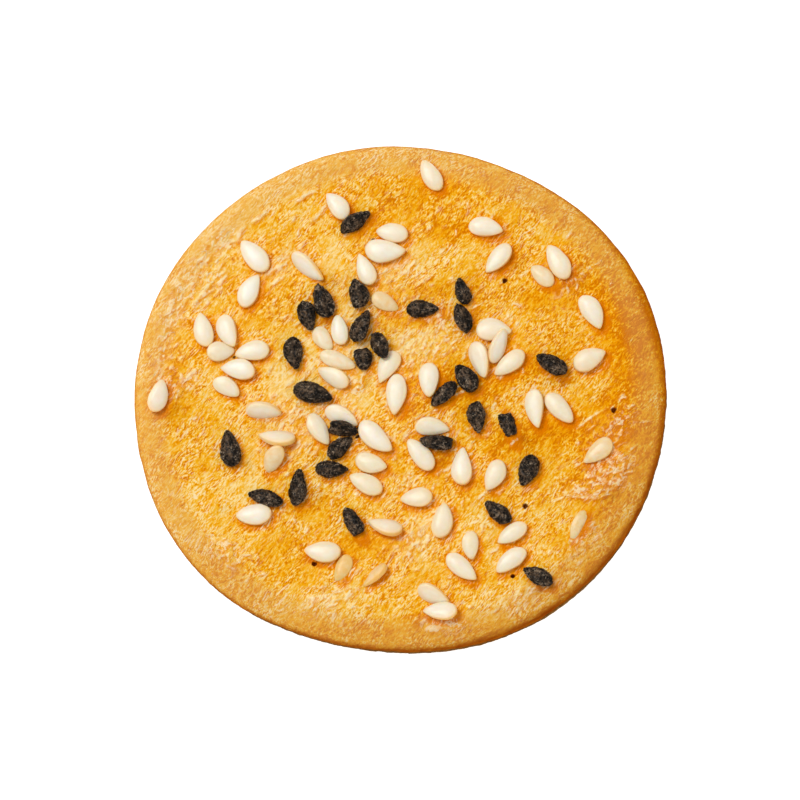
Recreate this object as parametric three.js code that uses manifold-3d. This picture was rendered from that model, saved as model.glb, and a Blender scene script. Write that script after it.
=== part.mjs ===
// A sesame biscuit: one thin, crisp round with a rounded shoulder, a low rim,
// a gently swollen top and a flat baked base. The dough was docked before
// baking, which leaves a few small round pits in the top.
//
// Units are millimetres. +Z is up, and the flat base lies on z = 0 with the
// origin under the middle of the biscuit's box. The seeds and the egg glaze
// are surface dressing and aren't part of this solid.

import * as THREE from 'three';
import { mergeVertices } from 'three/addons/utils/BufferGeometryUtils.js';
import Module from 'manifold-3d';

// ---------------------------------------------------------------- sizes

// The round, seen from above. It was rolled and cut by hand, so it is a
// little longer along X than along Y and not quite a circle.
const MEAN_RADIUS = 24.8;
const OUTLINE_WAVES = [
  { lobes: 2, depth: 0.53, crest: -5 }, // the long axis, close to X
  { lobes: 3, depth: 0.05, crest: 85 }, // hand-cut unevenness
  { lobes: 4, depth: 0.16, crest: 34 }, // faintly four-sided
  { lobes: 5, depth: 0.08, crest: 16 },
  { lobes: 6, depth: 0.05, crest: 38 },
];

// The section, from the base up.
const BASE_EDGE_RADIUS = 0.55; // the base turns up into the side
const SIDE_LEAN = 0.35; // the base is this much smaller than the waist
const WAIST_HEIGHT = 2.3; // the side is widest here
const SHOULDER_HEIGHT = 3.5; // the side turns into the shoulder here
const SHOULDER_DEPTH = 2.1; // how far in the shoulder reaches
const EDGE_THICKNESS = 4.75; // where the shoulder meets the top

// The top, measured inwards from the outline.
const RIM_RISE = 0.16; // the low rim left by the cutter
const RIM_INSET = 3.4;
const RIM_WIDTH = 1.7;
const DOME_RISE = 0.5; // how far the middle stands above the edge
const DOME_RADIUS = 23;

// Slow swells and hollows from the bake: height, distance from crest to
// crest, the direction that they run in, and where the first crest lies.
const SWELLS = [
  { height: 0.09, spacing: 21, heading: 35, start: 3 },
  { height: 0.07, spacing: 14, heading: 118, start: -2 },
  { height: 0.05, spacing: 9.5, heading: -20, start: 1.5 },
  { height: 0.035, spacing: 6.5, heading: 72, start: 0.8 },
];

// Docker pits: small blind holes pressed into the raw dough, narrower at
// the bottom.
const PIT_DEPTH = 1.6;
const PIT_TAPER = 0.7;
const PIT_SIDES = 10;
const PITS = [
  { x: 10.1, y: 10.9, diameter: 0.5 },
  { x: -2.4, y: 14.9, diameter: 0.45 },
  { x: 20.4, y: -1.7, diameter: 0.45 },
  { x: -8.0, y: -16.0, diameter: 0.5 },
  { x: 12.0, y: -10.8, diameter: 0.5 },
  { x: 10.8, y: -17.4, diameter: 0.4 },
];

// How finely the solid is faceted.
const STEPS_ROUND = 96;
const BASE_EDGE_STEPS = 3;
const SIDE_STEPS = 3;
const SHOULDER_STEPS = 7;
const TOP_RINGS = 20;

// ---------------------------------------------------------------- form

const degrees = THREE.MathUtils.degToRad;

/** Distance from the middle to the outline in the direction `angle`. */
function outlineRadius(angle) {
  return OUTLINE_WAVES.reduce(
    (radius, wave) => radius + wave.depth * Math.cos(wave.lobes * (angle - degrees(wave.crest))),
    MEAN_RADIUS,
  );
}

/** Height that the bake's swells add to the top at a point. */
function swellHeight(x, y) {
  return SWELLS.reduce((height, swell) => {
    const heading = degrees(swell.heading);
    const along = x * Math.cos(heading) + y * Math.sin(heading) - swell.start;
    return height + swell.height * Math.cos((2 * Math.PI * along) / swell.spacing);
  }, 0);
}

/** Height of the even top, `inset` in from the outline, without swells. */
function topHeight(inset) {
  const fromMiddle = Math.min((MEAN_RADIUS - inset) / DOME_RADIUS, 1);
  const dome = DOME_RISE * (1 - fromMiddle ** 2);
  const rim = RIM_RISE * Math.exp(-(((inset - RIM_INSET) / RIM_WIDTH) ** 2));
  return EDGE_THICKNESS + dome + rim;
}

/** The section as [inset from the outline, height], from base to middle. */
function sectionPoints() {
  const points = [];

  // The base edge: a quarter round from the flat base into the side.
  for (let step = 0; step <= BASE_EDGE_STEPS; step += 1) {
    const turn = (step / BASE_EDGE_STEPS) * (Math.PI / 2);
    points.push([
      SIDE_LEAN + BASE_EDGE_RADIUS * (1 - Math.sin(turn)),
      BASE_EDGE_RADIUS * (1 - Math.cos(turn)),
    ]);
  }

  // The side: bulged out to its widest at the waist.
  for (let step = 1; step <= SIDE_STEPS; step += 1) {
    const height = THREE.MathUtils.lerp(BASE_EDGE_RADIUS, SHOULDER_HEIGHT, step / SIDE_STEPS);
    const offWaist = Math.max(WAIST_HEIGHT - height, 0) / (WAIST_HEIGHT - BASE_EDGE_RADIUS);
    points.push([SIDE_LEAN * offWaist ** 2, height]);
  }

  // The shoulder: a quarter of an oval from the side over onto the top.
  const shoulderTop = topHeight(SHOULDER_DEPTH);
  for (let step = 1; step <= SHOULDER_STEPS; step += 1) {
    const turn = (step / SHOULDER_STEPS) * (Math.PI / 2);
    points.push([
      SHOULDER_DEPTH * (1 - Math.cos(turn)),
      THREE.MathUtils.lerp(SHOULDER_HEIGHT, shoulderTop, Math.sin(turn)),
    ]);
  }

  // The top: rings from the shoulder in to the middle.
  for (let ring = 1; ring < TOP_RINGS; ring += 1) {
    const inset = THREE.MathUtils.lerp(SHOULDER_DEPTH, MEAN_RADIUS, ring / TOP_RINGS);
    points.push([inset, topHeight(inset)]);
  }
  return points;
}

/**
 * The biscuit without its pits. A lathe turns the section into a round, and
 * each point then moves out to the outline and up onto the swells.
 */
function roundGeometry() {
  const section = sectionPoints().map(
    ([inset, height]) => new THREE.Vector2(MEAN_RADIUS - inset, height),
  );
  section.unshift(new THREE.Vector2(0, 0));
  section.push(new THREE.Vector2(0, topHeight(MEAN_RADIUS)));

  const geometry = new THREE.LatheGeometry(section, STEPS_ROUND);
  geometry.rotateX(Math.PI / 2); // the lathe's axis is Y, and up is Z
  const position = geometry.getAttribute('position');
  for (let index = 0; index < position.count; index += 1) {
    const [x, y, z] = [position.getX(index), position.getY(index), position.getZ(index)];
    const stretch = outlineRadius(Math.atan2(y, x)) / MEAN_RADIUS;
    const [outX, outY] = [x * stretch, y * stretch];

    // The swells fade out down the side, so the base stays flat.
    const upper = THREE.MathUtils.smoothstep(z, WAIST_HEIGHT, EDGE_THICKNESS);
    position.setXYZ(index, outX, outY, z + upper * swellHeight(outX, outY));
  }
  return geometry;
}

// ---------------------------------------------------------------- solids

const wasm = await Module();
wasm.setup();

/** Turns a closed three.js geometry into a solid that can be cut. */
function toSolid(geometry) {
  const bare = geometry.clone();
  bare.deleteAttribute('normal');
  bare.deleteAttribute('uv');
  const merged = mergeVertices(bare, 1e-4);
  return new wasm.Manifold(
    new wasm.Mesh({
      numProp: 3,
      vertProperties: Float32Array.from(merged.getAttribute('position').array),
      triVerts: Uint32Array.from(merged.index.array),
    }),
  );
}

/** Turns a solid back into a geometry whose triangles share vertices. */
function toGeometry(solid) {
  const mesh = solid.getMesh();
  const geometry = new THREE.BufferGeometry();
  geometry.setAttribute('position', new THREE.BufferAttribute(mesh.vertProperties, 3));
  geometry.setIndex(new THREE.BufferAttribute(mesh.triVerts, 1));
  geometry.computeVertexNormals();
  return geometry;
}

/** The docker pin that presses one pit, stood where it goes in. */
function pitGeometry({ x, y, diameter }) {
  const top = topHeight(MEAN_RADIUS - Math.hypot(x, y)) + swellHeight(x, y);
  const length = PIT_DEPTH * 2; // half of it stands clear above the top
  const radius = diameter / 2;
  const pin = new THREE.CylinderGeometry(radius, radius * PIT_TAPER, length, PIT_SIDES);
  pin.rotateX(Math.PI / 2); // stands the pin along Z, wide end up
  pin.translate(x, y, top);
  return pin;
}

/** The whole biscuit, pits cut, centred over the origin on its base. */
function biscuitGeometry() {
  const docked = PITS.reduce(
    (solid, pit) => solid.subtract(toSolid(pitGeometry(pit))),
    toSolid(roundGeometry()),
  );
  const geometry = toGeometry(docked);
  geometry.computeBoundingBox();
  const middle = geometry.boundingBox.getCenter(new THREE.Vector3());
  geometry.translate(-middle.x, -middle.y, 0);
  return geometry;
}

// ---------------------------------------------------------------- model

const bakedCrust = new THREE.MeshStandardMaterial({
  color: 0xe6a548,
  roughness: 0.45,
  metalness: 0,
});

const biscuit = new THREE.Mesh(biscuitGeometry(), bakedCrust);
biscuit.name = 'biscuit';

const group = new THREE.Group();
group.add(biscuit);

export default group;
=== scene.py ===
"""The looks of a sesame biscuit: its baked dough, egg glaze and sesame seeds.

Lengths are in millimetres while a piece is shaped and become metres when its
mesh is finished. +Z is up, and the flat base lies on z = 0.
"""

import logging
import math
import random
from dataclasses import dataclass, field
from enum import Enum
from typing import ClassVar, Sequence

import bmesh
import bpy
from mathutils import Matrix, Vector, noise
from mathutils.bvhtree import BVHTree
from mathutils.kdtree import KDTree


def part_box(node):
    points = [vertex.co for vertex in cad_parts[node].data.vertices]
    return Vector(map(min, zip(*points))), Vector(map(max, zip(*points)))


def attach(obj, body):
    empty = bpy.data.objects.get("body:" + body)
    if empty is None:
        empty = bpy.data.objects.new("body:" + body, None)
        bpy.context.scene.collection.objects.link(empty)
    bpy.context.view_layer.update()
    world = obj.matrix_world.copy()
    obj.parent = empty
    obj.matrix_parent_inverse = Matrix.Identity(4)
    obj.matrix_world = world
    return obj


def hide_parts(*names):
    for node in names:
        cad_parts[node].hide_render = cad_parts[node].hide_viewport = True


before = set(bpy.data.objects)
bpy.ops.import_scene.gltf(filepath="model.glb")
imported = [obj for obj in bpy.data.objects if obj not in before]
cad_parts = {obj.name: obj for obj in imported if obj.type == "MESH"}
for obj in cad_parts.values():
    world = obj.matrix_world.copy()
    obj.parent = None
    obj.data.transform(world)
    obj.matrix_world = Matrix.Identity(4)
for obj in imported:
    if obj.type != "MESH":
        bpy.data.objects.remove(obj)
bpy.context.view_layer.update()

MILLIMETRE = 0.001
BRUSH_HEADING = 48.0  # the direction that the egg was brushed in, in degrees from +X

Colour = tuple[float, float, float]
Socket = bpy.types.NodeSocket

log = logging.getLogger("sesame_biscuit")


# ------------------------------------------------------------------ helpers

def blend(low: float, high: float, share: float) -> float:
    """Returns the value that lies `share` of the way from `low` to `high`."""
    return low + (high - low) * share


def ease(low: float, high: float, value: float) -> float:
    """Eases from 0 to 1 as a value goes from one limit to the other.

    Args:
        low: Where the result is 0.
        high: Where the result is 1; it may be below `low`.
        value: The value to place between them.

    Returns:
        The eased share, from 0 to 1.
    """
    share = min(max((value - low) / (high - low), 0.0), 1.0)
    return share * share * (3.0 - 2.0 * share)


def hump(distance: float, reach: float) -> float:
    """Returns a smooth hump: 1 at no distance, and near 0 past twice the reach."""
    return math.exp(-((distance / reach) ** 2))


def turned(x: float, y: float, degrees: float) -> tuple[float, float]:
    """Reads a place in axes that are turned about Z.

    Args:
        x: The place along X.
        y: The place along Y.
        degrees: How far the new axes are turned, counterclockwise.

    Returns:
        The place along and across the turned axes.
    """
    angle = math.radians(degrees)
    cosine, sine = math.cos(angle), math.sin(angle)
    return x * cosine + y * sine, y * cosine - x * sine


def tone(red: int, green: int, blue: int) -> Colour:
    """Turns a screen colour into a linear one.

    Args:
        red: The red level, from 0 to 255.
        green: The green level, from 0 to 255.
        blue: The blue level, from 0 to 255.

    Returns:
        The linear colour, each channel from 0 to 1.
    """

    def linear(level: int) -> float:
        """Returns the linear strength of one channel."""
        share = level / 255.0
        return share / 12.92 if share <= 0.04045 else ((share + 0.055) / 1.055) ** 2.4

    return linear(red), linear(green), linear(blue)


# ------------------------------------------------------- where things lie

@dataclass(frozen=True)
class Patch:
    """A soft oval patch on the top, in millimetres.

    `heading` is the direction of its long axis in degrees from +X, and
    `amount` is its strength in the middle.
    """

    x: float
    y: float
    long: float
    wide: float
    heading: float
    amount: float

    def strength(self, x: float, y: float) -> float:
        """Returns how strongly the patch shows at a place."""
        along, across = turned(x - self.x, y - self.y, self.heading)
        return self.amount * math.exp(-((along / self.long) ** 2) - (across / self.wide) ** 2)


class PatchMap:
    """Patches sorted into square cells of the top, so that a place finds its own quickly."""

    CELL: ClassVar[float] = 3.0

    def __init__(self, patches: Sequence[Patch]) -> None:
        """Sorts the patches.

        Args:
            patches: The patches to sort.
        """
        self.cells: dict[tuple[int, int], list[Patch]] = {}
        for patch in patches:
            reach = 2.2 * max(patch.long, patch.wide)
            for column in range(*self.span(patch.x, reach)):
                for row in range(*self.span(patch.y, reach)):
                    self.cells.setdefault((column, row), []).append(patch)

    def span(self, middle: float, reach: float) -> tuple[int, int]:
        """Finds the cells that a stretch touches.

        Args:
            middle: The middle of the stretch, in millimetres.
            reach: How far it goes to each side, in millimetres.

        Returns:
            The first cell, and the one after the last.
        """
        return (
            math.floor((middle - reach) / self.CELL),
            math.floor((middle + reach) / self.CELL) + 1,
        )

    def strength(self, x: float, y: float) -> float:
        """Returns how strongly all the patches together show at a place."""
        cell = (math.floor(x / self.CELL), math.floor(y / self.CELL))
        return sum(patch.strength(x, y) for patch in self.cells.get(cell, ()))


class Pressed(Enum):
    """How deep a seed sits in the glaze and dough, in millimetres."""

    RESTING = 0.05
    SEATED = 0.2
    HALF = 0.42
    BURIED = 0.6


class Look(Enum):
    """What sets a seed apart from the plain ones of its kind."""

    PLAIN = 1
    RIDGED = 2
    BLUNT = 3
    CUPPED = 4
    BROKEN = 5


@dataclass(frozen=True)
class Seed:
    """Where one seed lies on the biscuit.

    `turn` is the direction from its blunt heel to its tip, in degrees from +X.
    `roll` turns it about its length, in degrees: 0 is flat and 90 on edge.
    `shade` goes from the palest seed of its kind at 0 to the deepest at 1.
    """

    x: float
    y: float
    turn: float
    length: float
    width: float
    roll: float = 0.0
    pressed: Pressed = Pressed.SEATED
    shade: float = 0.35
    look: Look = Look.PLAIN


RESTING, HALF, BURIED = Pressed.RESTING, Pressed.HALF, Pressed.BURIED

# From the bottom of each pile to its top: a later seed lies on an earlier one.
WHITE_SEEDS = (
    # The left of the top.
    Seed(-13.7, 13.6, 130, 3.75, 2.05, shade=0.1),
    Seed(-14.2, 10.3, 64, 3.45, 1.9, shade=0.1),
    Seed(-18.6, 6.55, 102, 3.4, 1.85),
    Seed(-16.9, 4.45, 5, 2.65, 1.85, shade=0.5),
    Seed(-16.3, 6.35, -71, 3.3, 1.9, roll=12, shade=0.25),
    Seed(-13.9, 4.45, 189, 3.3, 1.9, shade=0.3),
    Seed(-15.25, 2.75, 171, 3.4, 1.95, shade=0.15),
    Seed(-16.3, 1.05, -30, 2.8, 1.7, roll=30, shade=0.4),
    Seed(-22.75, 0.2, 75, 3.2, 1.8, roll=40, pressed=RESTING, shade=0.3),
    Seed(-12.8, -1.3, -5, 3.4, 1.9, roll=66, pressed=HALF, shade=0.3),
    Seed(-11.55, -4.0, 173, 3.6, 1.95, roll=60, pressed=HALF, shade=0.4),
    Seed(-11.85, -6.0, 237, 2.9, 1.75, roll=-14, shade=0.75),
    Seed(-13.7, -11.3, 184, 3.4, 2.0, shade=0.2),
    # The upper middle.
    Seed(-8.65, 12.4, -42, 3.9, 1.9, roll=66, pressed=HALF, shade=0.1),
    Seed(-5.8, 18.35, 128, 3.1, 1.8, shade=0.2),
    Seed(3.05, 21.1, 120, 3.3, 1.75, shade=0.45),
    Seed(-0.6, 15.6, 172, 3.05, 1.85, shade=0.3),
    Seed(-3.15, 12.1, 112, 3.25, 1.75, shade=0.3),
    Seed(-1.25, 13.75, -3, 3.85, 2.2, shade=0.2),
    Seed(-1.3, 8.9, -29, 2.8, 1.6, pressed=HALF, shade=0.8),
    # The upper right.
    Seed(8.3, 16.05, -9, 3.3, 1.85, shade=0.25),
    Seed(9.45, 13.0, 230, 3.45, 1.75, roll=10, shade=0.3),
    Seed(15.15, 12.6, 119, 3.7, 1.95, shade=0.4),
    Seed(13.65, 11.35, 138, 2.7, 1.6, pressed=HALF, shade=0.65),
    Seed(18.4, 7.75, -61, 3.6, 1.95, shade=0.3),
    Seed(18.1, 3.25, 27, 3.3, 2.05, shade=0.5),
    # The middle.
    Seed(-5.6, 6.3, 99, 2.9, 1.6, shade=0.2),
    Seed(-7.2, 5.5, -55, 2.6, 1.65, pressed=HALF, shade=0.6),
    Seed(-5.8, 3.4, -21, 3.6, 1.6, pressed=HALF, shade=0.6),
    Seed(-6.15, 1.85, 150, 3.35, 1.7, roll=-26, shade=0.45),
    Seed(-1.05, 2.7, 241, 3.4, 1.9, shade=0.45),
    Seed(-0.2, 0.0, 265, 3.95, 1.95, shade=0.3),
    Seed(2.9, 1.35, 270, 3.3, 1.9, shade=0.25),
    Seed(3.25, -3.1, -5, 3.3, 1.75, roll=28, shade=0.4),
    Seed(2.1, -5.75, 129, 3.65, 1.85, shade=0.3),
    Seed(6.0, -6.95, 90, 3.65, 1.95, shade=0.3),
    Seed(-2.2, -4.1, -43, 4.0, 2.1, shade=0.2),
    Seed(-5.35, -1.95, -27, 3.45, 1.75, roll=24, shade=0.35),
    Seed(-7.6, -3.25, -60, 3.4, 1.75, roll=-18, shade=0.45),
    Seed(-2.6, -6.55, -17, 3.1, 1.9, shade=0.5),
    Seed(-3.1, -8.45, 153, 3.45, 1.85, shade=0.55),
    # The right.
    Seed(9.05, 6.15, -3, 3.35, 2.15, shade=0.35),
    Seed(10.55, 2.85, 218, 3.5, 1.75, shade=0.5),
    Seed(9.5, 4.5, 69, 3.45, 1.55, roll=38, pressed=RESTING, shade=0.2),
    Seed(7.75, 3.25, -74, 3.6, 1.85, shade=0.35),
    Seed(12.9, -1.5, -83, 3.75, 1.75, roll=26, shade=0.3),
    Seed(15.25, -1.45, -48, 3.6, 1.85, shade=0.45),
    Seed(18.9, -5.7, 219, 3.35, 1.75, shade=0.75),
    Seed(9.15, -7.9, 245, 3.15, 1.9, shade=0.45),
    # The bottom.
    Seed(1.7, -9.85, 184, 3.1, 1.85, shade=0.5),
    Seed(4.2, -12.1, 81, 3.4, 2.0, shade=0.5),
    Seed(-1.3, -12.6, 164, 3.4, 1.9, roll=60, pressed=HALF, shade=0.4),
    Seed(6.8, -14.5, 271, 2.7, 1.6, shade=0.55),
    Seed(5.95, -16.6, -41, 3.6, 1.8, shade=0.35),
    Seed(-7.2, -14.95, 176, 3.5, 2.0, shade=0.4),
    Seed(-5.3, -16.5, 244, 2.8, 1.5, pressed=HALF, shade=1.0),
    Seed(-2.25, -17.25, 224, 2.95, 1.7, roll=70, pressed=BURIED, shade=0.8),
    Seed(3.3, -19.2, -27, 3.3, 1.8, roll=58, pressed=HALF, shade=0.4),
    Seed(3.95, -20.75, 181, 3.3, 1.75, roll=34, shade=0.25),
    Seed(10.75, -13.4, 212, 3.2, 1.65, shade=0.45),
    Seed(10.6, -15.95, 217, 3.45, 1.75, shade=0.35),
    Seed(16.95, -12.7, 246, 3.2, 1.25, roll=-16, pressed=HALF, shade=0.85),
)

BLACK_SEEDS = (
    Seed(-4.1, 16.75, 35, 3.4, 1.7, roll=40),
    Seed(-7.2, 9.1, 110, 3.45, 2.0),
    Seed(-3.75, 9.75, 101, 2.9, 2.0),
    Seed(-8.7, 7.75, -79, 3.0, 1.75),
    Seed(-3.5, 6.6, 67, 3.4, 1.85, roll=-12, pressed=RESTING, look=Look.RIDGED),
    Seed(6.1, 7.3, 107, 3.2, 1.7, shade=0.6, look=Look.RIDGED),
    Seed(6.05, 9.9, 108, 2.7, 1.5, pressed=RESTING, shade=0.1),
    Seed(2.35, 8.25, 0, 3.2, 1.7),
    Seed(-16.0, -4.9, 100, 3.6, 2.0, shade=0.5),
    Seed(-10.0, 4.15, -84, 3.15, 1.85),
    Seed(-8.1, 0.3, -17, 3.9, 2.0, shade=0.5),
    Seed(-3.35, 3.65, 280, 2.5, 1.75, shade=0.6, look=Look.BLUNT),
    Seed(-1.7, 4.7, -60, 3.1, 1.75, roll=24, pressed=RESTING, look=Look.RIDGED),
    Seed(6.45, 1.5, 125, 3.1, 1.95, shade=0.4),
    Seed(4.3, -0.05, 223, 3.2, 1.6, roll=20),
    Seed(7.4, -2.3, -86, 3.0, 1.85, shade=0.5),
    Seed(3.9, -4.68, 176, 3.8, 1.5, roll=16, pressed=RESTING, look=Look.BLUNT),
    Seed(-5.4, -3.15, -13, 3.3, 1.7, roll=60, shade=0.7, look=Look.BLUNT),
    Seed(-5.55, -4.95, 40, 2.9, 1.7),
    Seed(-6.3, -7.05, -2, 3.2, 1.65),
    Seed(14.5, 2.75, 150, 3.35, 1.75, shade=0.5),
    Seed(10.41, -3.18, -72, 4.0, 1.5, pressed=HALF, look=Look.BROKEN),
    Seed(12.3, -7.4, 248, 3.1, 1.9, shade=0.3),
    Seed(-12.6, -9.65, 165, 3.5, 1.6, roll=14),
    Seed(-9.5, -8.7, 84, 3.65, 1.75),
    Seed(-4.25, -12.25, 120, 3.45, 1.6, roll=-14, shade=0.4, look=Look.BLUNT),
    Seed(9.4, -11.4, 142, 3.05, 1.7),
    Seed(13.2, -17.5, 151, 3.15, 1.65, shade=1.0, look=Look.CUPPED),
)

# Seeds that the dough covers, which only swell the glaze over them.
COVERED_SEEDS = (
    Seed(-16.0, -15.0, 105, 2.6, 1.1),
    Seed(-17.3, -10.4, 20, 2.6, 1.6),
    Seed(-3.7, 1.2, 30, 1.8, 1.2),
    Seed(-7.1, -18.1, 0, 1.4, 1.3),
)

# Where the brush left more egg (above 0) or less (below 0) than elsewhere. The
# golden patches at (-7.0, 7.4), (4.0, -6.2), (-3.3, 12.4), (11.0, 13.0),
# (16.2, 11.0) and (-21.8, -0.4) are painted shade beside seeds instead.
EGG_LOADS_AND_SEED_SHADE = (
    # Golden streaks and pools.
    Patch(5.1, 16.0, 3.4, 1.3, 0, 0.5),
    Patch(0.6, 18.6, 7.0, 1.6, 4, 0.25),
    Patch(4.4, 20.4, 3.0, 1.2, -8, 0.25),
    Patch(8.4, 9.6, 3.4, 1.2, -4, 0.1),
    Patch(13.6, 8.9, 4.6, 1.3, -6, 0.3),
    Patch(14.4, 4.6, 3.8, 2.6, 10, 0.2),
    Patch(2.4, 10.2, 3.0, 1.2, 12, 0.35),
    Patch(2.2, 7.2, 2.6, 1.0, 20, 0.45),
    Patch(6.4, 7.8, 2.6, 1.0, 10, 0.4),
    Patch(4.9, 1.4, 2.6, 1.6, 60, 0.5),
    Patch(6.4, -0.4, 2.4, 1.4, 20, 0.3),
    Patch(1.2, -0.4, 3.0, 1.2, 85, 0.4),
    Patch(8.6, 0.6, 2.6, 1.2, 25, 0.45),
    Patch(12.6, 2.4, 2.8, 1.0, 15, 0.4),
    Patch(4.0, -6.2, 1.4, 1.4, 0, 0.5),
    Patch(10.6, -4.2, 3.6, 2.0, 14, 0.5),
    Patch(16.0, -4.0, 3.6, 1.8, -10, 0.35),
    Patch(21.0, -3.4, 2.2, 1.3, 0, 0.4),
    Patch(21.6, 3.0, 4.5, 1.8, 86, 0.35),
    Patch(6.8, -9.4, 2.8, 2.0, 30, 0.2),
    Patch(-2.4, -14.2, 4.2, 1.4, 0, 0.3),
    Patch(-8.4, -10.8, 2.6, 1.4, 20, 0.3),
    Patch(-11.0, -15.6, 3.6, 2.4, 10, 0.3),
    Patch(-12.4, 8.4, 3.6, 2.0, -18, 0.22),
    Patch(-11.6, -8.4, 3.4, 1.5, 35, 0.3),
    Patch(-1.6, 7.6, 2.2, 1.2, 85, 0.3),
    Patch(-21.2, 2.0, 8.0, 2.2, 87, 0.14),
    Patch(-4.0, -22.4, 9.0, 1.3, 0, 0.16),
    Patch(12.6, 17.6, 5.0, 2.0, -40, 0.14),
    Patch(-3.3, 12.4, 4.6, 0.9, 98, 0.35),
    Patch(-7.0, 7.4, 1.2, 1.0, 90, 0.5),
    Patch(21.0, 6.4, 3.0, 1.6, -70, 0.35),
    Patch(11.0, 13.0, 2.0, 1.2, 20, 0.3),
    Patch(16.2, 11.0, 2.2, 1.8, 0, 0.45),
    Patch(17.4, -8.6, 2.6, 1.6, 20, 0.2),
    Patch(3.6, -21.2, 3.0, 1.0, 10, 0.2),
    Patch(-21.8, -0.4, 2.0, 1.2, 90, 0.2),
    Patch(17.0, -12.6, 4.4, 3.0, 50, 0.1),
    Patch(19.4, -2.0, 2.6, 2.2, 0, 0.35),
    Patch(19.2, -8.0, 3.6, 2.8, 60, 0.4),
    Patch(20.4, 9.6, 4.5, 2.0, -55, 0.3),
    Patch(22.4, 0.5, 6.5, 1.7, 88, 0.35),
    # Thin, scratchy places where the brush dragged.
    Patch(-20.0, 9.6, 8.5, 2.6, 62, -0.06),
    Patch(-21.4, 4.0, 3.4, 2.0, 80, 0.2),
    Patch(-13.5, 18.6, 7.0, 2.6, 36, -0.25),
    Patch(0.6, 12.6, 4.4, 1.5, 8, -0.35),
    Patch(-5.8, 13.6, 2.4, 1.5, 60, -0.3),
    Patch(-6.2, 4.4, 4.8, 3.2, 35, -0.5),
    Patch(-10.8, 1.6, 2.8, 1.6, 50, -0.42),
    Patch(-16.2, 3.6, 2.0, 1.2, 70, -0.3),
    Patch(1.0, 5.0, 3.4, 1.4, 24, -0.35),
    Patch(9.0, 4.8, 2.2, 1.8, 60, -0.4),
    Patch(-4.0, -1.0, 2.4, 1.4, 40, -0.35),
    Patch(13.6, -0.4, 3.2, 1.4, -14, -0.25),
    Patch(-13.4, -8.0, 3.8, 2.4, 70, -0.35),
    Patch(-8.2, -8.0, 2.2, 1.4, 50, -0.3),
    Patch(-18.0, -9.8, 3.4, 2.4, 20, -0.2),
    Patch(-5.6, -19.6, 4.6, 1.8, 12, -0.3),
    Patch(2.6, -12.4, 3.0, 1.8, 80, -0.4),
    Patch(7.2, -12.4, 2.0, 2.0, 0, -0.3),
    Patch(10.8, -19.2, 4.0, 1.6, 14, -0.3),
)

# Where the drying egg puckered into a fine, shiny crinkle.
CRINKLES = (
    Patch(-20.9, 9.6, 3.4, 1.3, 66, 1.0),
    Patch(-17.2, 15.2, 2.4, 1.2, 46, 0.9),
    Patch(-17.8, 11.0, 2.4, 0.8, 54, 0.8),
    Patch(-22.0, 3.4, 3.6, 1.5, 84, 0.5),
    Patch(-20.4, 1.4, 1.8, 0.7, 30, 0.8),
    Patch(-10.9, 13.0, 2.2, 1.1, 28, 0.6),
    Patch(-3.9, 1.1, 1.6, 1.0, 0, 0.9),
    Patch(-9.0, -1.6, 5.0, 3.0, 50, 0.5),
    Patch(-2.0, 10.6, 5.0, 2.4, 40, 0.45),
    Patch(3.0, 5.4, 4.0, 2.4, 45, 0.5),
    Patch(20.8, -2.6, 2.4, 1.4, 30, 0.5),
    Patch(20.4, -7.0, 2.6, 2.0, 12, 0.75),
    Patch(18.4, -9.4, 3.4, 1.0, 8, 0.5),
    Patch(17.6, -14.4, 2.6, 1.4, 50, 0.45),
    Patch(4.4, -22.0, 2.6, 0.9, 8, 0.95),
    Patch(11.8, -19.4, 2.4, 1.1, 30, 0.7),
    Patch(1.4, -13.8, 2.2, 1.6, 60, 0.6),
    Patch(-6.6, -19.4, 3.0, 1.4, 20, 0.6),
    Patch(-16.6, -14.6, 2.2, 1.2, -30, 0.7),
    Patch(16.6, 10.6, 2.4, 1.0, 50, 0.3),
    # A little, all over.
    Patch(1.0, 0.0, 15.0, 14.0, 50, 0.12),
)


@dataclass(frozen=True)
class Pleat:
    """A long fold that the egg dried into, in millimetres.

    It runs from one place to another and bows out to its left by `bow`.
    """

    start: tuple[float, float]
    end: tuple[float, float]
    bow: float
    width: float
    height: float

    STEP: ClassVar[float] = 0.1

    def line(self) -> list[tuple[float, float, float]]:
        """Follows the pleat's crest.

        Returns:
            Places along it, each with its strength there, from 0 to 1.
        """
        (x, y), (far_x, far_y) = self.start, self.end
        across_x, across_y = y - far_y, far_x - x
        length = math.hypot(across_x, across_y)
        steps = max(math.ceil(length / self.STEP), 2)
        places = []
        for step in range(steps + 1):
            share = step / steps
            out = 4.0 * share * (1.0 - share) * self.bow / length
            places.append((
                blend(x, far_x, share) + across_x * out,
                blend(y, far_y, share) + across_y * out,
                min(5.0 * share, 3.0 * (1.0 - share), 1.0),
            ))
        return places


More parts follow.
